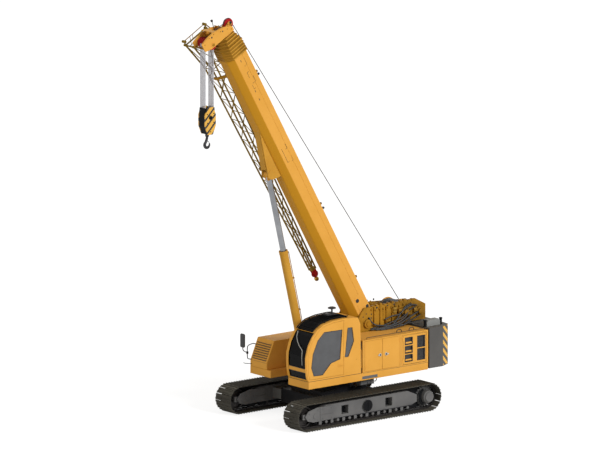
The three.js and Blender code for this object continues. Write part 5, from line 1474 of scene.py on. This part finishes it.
# ------------------------------------------------------------------ hook block and hook
block_low, block_high = extent("hook_block", machine)
BX = (block_low.x + block_high.x) / 2
low, high = block_low.z, block_high.z
half = (block_high.x - block_low.x) / 2
plate = [(BX - 0.09, low), (BX + 0.09, low), (BX + half, low + 0.26), (BX + half, high - 0.22),
         (BX + 0.11, high), (BX - 0.11, high), (BX - half, high - 0.22), (BX - half, low + 0.26)]
plates = Shape()
for side in (-1, 1):
    plates.prism(plate, *sorted((side * 0.125, side * 0.165)))
plates.done("block_side_plates", BLOCK_BANDS, "hook_block", 0.006, replaces=("hook_block",))
block = Shape()
for k in (-1, 1):
    # edge guards that close the block's front and back over the sheaves
    block.prism([(BX + k * (half - 0.001), low + 0.262), (BX + k * (half - 0.001), high - 0.222),
                 (BX + k * (half - 0.02), high - 0.222),
                 (BX + k * (half - 0.02), low + 0.262)], -0.125, 0.125)
    # rope guard over the falls' way in
    block.prism([(BX + k * (half - 0.001), high - 0.224), (BX + k * 0.179, high - 0.012),
                 (BX + k * 0.169, high - 0.012), (BX + k * (half - 0.022), high - 0.234)], -0.125, 0.125)
    for side in (-1, 1):
        block.prism([(BX + k * (half - 0.004), high - 0.224), (BX + k * 0.176, high - 0.02),
                     (BX + k * 0.10, high - 0.012),
                     (BX + k * 0.10, high - 0.224)], *sorted((side * 0.117, side * 0.1249)))
    block.prism([(BX + k * (half - 0.001), low + 0.264), (BX + k * 0.10, low + 0.012),
                 (BX + k * 0.08, low + 0.02), (BX + k * (half - 0.022), low + 0.264)], -0.125, 0.125)
block.block((BX - 0.08, BX + 0.08), (-0.155, 0.155), (low + 0.02, low + 0.15))
block.block((BX - 0.14, BX + 0.14), (-0.124, 0.124), (low + 0.16, low + 0.2))
for side in (-1, 1):
    block.turned(handed([(0.06, 0.0), (0.06, 0.02), (0.03, 0.026)], side), (BX, side * 0.165, high - 0.3))
    for x, z in ((-0.12, 0.36), (0.12, 0.36), (-0.12, 0.62), (0.12, 0.62), (0.0, 0.09)):
        block.turned([(0.016, -0.012), (0.016, 0.012)], (BX + x, side * 0.165, low + z), sides=6)
block.done("block_body", DEEP_BLACK, "hook_block", 0.003)
block_sheaves = Shape()
grooved(block_sheaves, (BX, 0, high - 0.3), 0.17, 0.105, 4, 0.05)
block_sheaves.turned([(0.045, -0.124), (0.045, 0.124)], (BX, 0, high - 0.3))
block_sheaves.done("block_sheaves", DEEP_BLACK, "hook_block")
hook = Shape()
hook_top = low + 0.014
bowl = hook_top - 0.33
path = [(0, hook_top - 0.05), (0, hook_top - 0.11), (0.012, hook_top - 0.16), (0.026, hook_top - 0.20)]
path += arc(0, bowl, 0.090, 58, -200, 22)
radii = [0.036, 0.037, 0.038, 0.040]
for i in range(23):
    share = i / 22
    # thickest in the bowl, thin at the point
    swell = 0.006 * math.sin(math.pi * min(1, share * 1.3))
    radii.append(0.040 + swell - 0.020 * max(0.0, share - 0.62) / 0.38)
hook.tube([(BX + a, 0, z) for a, z in path], radii, 16)
hook.turned([(0.05, hook_top - 0.09), (0.062, hook_top - 0.08), (0.062, hook_top - 0.02), (0.05, hook_top)],
            (BX, 0, 0), "z", 6)
hook.done("forged_hook", DARK_STEEL, "hook", replaces=("hook",))
latch = Shape()
latch.prism([(BX, hook_top - 0.20), (BX + 0.012, hook_top - 0.205), (BX - 0.074, bowl + 0.052),
             (BX - 0.088, bowl + 0.056)], -0.013, 0.013)
latch.done("hook_latch", DARK_STEEL, "hook", 0.002)

# ------------------------------------------------------------------ ropes
winch_top = machine(-2.66, 0, 3.03)
lead_angle = math.radians(128)
head_top = on_boom(UPPER[0] + (REACH + 0.004) * math.cos(lead_angle), 0,
                   UPPER[1] + (REACH + 0.004) * math.sin(lead_angle))
run = head_top - winch_top


def rope_piece(name, points, radius, material):
    shape = Shape(lambda *p: Vector(p))
    shape.tube(points, radius, 8)
    return shape.done(name, material, None)


# The first share of it is one piece and the rest another; both ride on no body.
BENDS = 0.16
reach = winch_top + run * BENDS
lead = rope_piece("hoist_rope_lead", [winch_top + run * (BENDS * i / 24) for i in range(25)], ROPE,
                  HOIST_ROPE)
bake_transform(lead)
haul = rope_piece("hoist_rope_run", [reach + (head_top - reach) * (i / 30) for i in range(31)], ROPE,
                  HOIST_ROPE)
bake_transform(haul)
over = Shape(on_boom)
turns = [math.radians(a) for a in range(128, -53, -12)]
over.tube([(UPPER[0] + (REACH + 0.004) * math.cos(a), 0,
            UPPER[1] + (REACH + 0.004) * math.sin(a)) for a in turns], ROPE, 8)
over.tube([(UPPER[0] + 0.10, 0, UPPER[1] - 0.128), (LOWER[0] + 0.12, -0.10, LOWER[1] + 0.11)], ROPE, 8)
over.done("hoist_rope_over_head", HOIST_ROPE, "boom_head")
falls_top = on_boom(LOWER[0], 0, LOWER[1]).z
falls_low = high - 0.3
for k in range(10):
    y = -0.106 + (k // 2) * 0.053
    x = SLEW.x + BX + (0.152 if k % 2 else -0.152)
    points = [Vector((x, y, falls_top + (falls_low - falls_top) * i / 20)) for i in range(21)]
    fall = rope_piece(f"rope_fall_{k + 1}", points, 0.014, FALL_ROPE)
    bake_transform(fall)

# ------------------------------------------------------------------ stage, light and camera
floor_mesh = bpy.data.meshes.new("floor")
floor_mesh.from_pydata([(-400, -400, 0), (400, -400, 0), (400, 400, 0), (-400, 400, 0)], [], [(0, 1, 2, 3)])
floor = bpy.data.objects.new("floor", floor_mesh)
bpy.context.scene.collection.objects.link(floor)


def white_to_view(tree):
    """1 for rays from the camera and for mirror and glass rays, 0 for rays that carry light."""
    path_node = add(tree, "ShaderNodeLightPath")
    seen = math_of(tree, "MAXIMUM", path_node.outputs["Is Camera Ray"], path_node.outputs["Is Glossy Ray"])
    return math_of(tree, "MAXIMUM", seen, path_node.outputs["Is Transmission Ray"])


paper = bpy.data.materials.new("white_paper_floor")
paper.use_nodes = True
tree = paper.node_tree
tree.nodes.clear()
matt = add(tree, "ShaderNodeBsdfDiffuse", {"Color": (0.8, 0.8, 0.8, 1)})
pale = add(tree, "ShaderNodeBsdfDiffuse", {"Color": (0.3, 0.3, 0.3, 1)})
glow = add(tree, "ShaderNodeEmission", {"Color": (1, 1, 1, 1), "Strength": 0.84})
lit = add(tree, "ShaderNodeAddShader", {0: pale.outputs[0], 1: glow.outputs[0]})
choice = add(tree, "ShaderNodeMixShader", {0: white_to_view(tree), 1: matt.outputs[0], 2: lit.outputs[0]})
add(tree, "ShaderNodeOutputMaterial", {"Surface": choice.outputs[0]})
floor_mesh.materials.append(paper)

world = bpy.data.worlds.new("plain_white")
bpy.context.scene.world = world
world.use_nodes = True
tree = world.node_tree
tree.nodes.clear()
fill = add(tree, "ShaderNodeBackground", {"Color": (1.0, 0.98, 0.94, 1), "Strength": 0.45})
page = add(tree, "ShaderNodeBackground", {"Color": (1, 1, 1, 1), "Strength": 1.0})
choice = add(tree, "ShaderNodeMixShader", {0: white_to_view(tree), 1: fill.outputs[0], 2: page.outputs[0]})
add(tree, "ShaderNodeOutputWorld", {"Surface": choice.outputs[0]})


def sun(name, towards, strength, colour, softness):
    lamp = bpy.data.lights.new(name, "SUN")
    lamp.energy = strength
    lamp.color = colour
    lamp.angle = math.radians(softness)
    holder = bpy.data.objects.new(name, lamp)
    holder.rotation_euler = Vector(towards).to_track_quat("Z", "Y").to_euler()
    bpy.context.scene.collection.objects.link(holder)


sun("key_sun", (-0.15, 0.88, 0.46), 2.2, (1.0, 0.98, 0.96), 16)
sun("soft_front", (0.95, 0.1, 0.15), 0.5, (1.0, 0.93, 0.74), 30)

azimuth, elevation = math.radians(141), math.radians(11.7)
towards = Vector((math.sin(azimuth) * math.cos(elevation), -math.cos(azimuth) * math.cos(elevation),
                  math.sin(elevation)))
across = Vector((math.cos(azimuth), math.sin(azimuth), 0))
upwards = towards.cross(across)
target = Vector((SLEW.x, 0, 0)) - across * 0.835 + upwards * 5.476
# so far off, with so long a lens, that parallel lines stay all but parallel
DISTANCE = 500
lens = bpy.data.cameras.new("camera")
lens.lens = 1020
lens.clip_start = 50
lens.clip_end = 4000
camera = bpy.data.objects.new("camera", lens)
camera.matrix_world = Matrix.Translation(target + towards * DISTANCE) @ Matrix((across, upwards,
        towards)).transposed().to_4x4()
bpy.context.scene.collection.objects.link(camera)
bpy.context.scene.camera = camera
bpy.context.scene.view_settings.view_transform = "Standard"
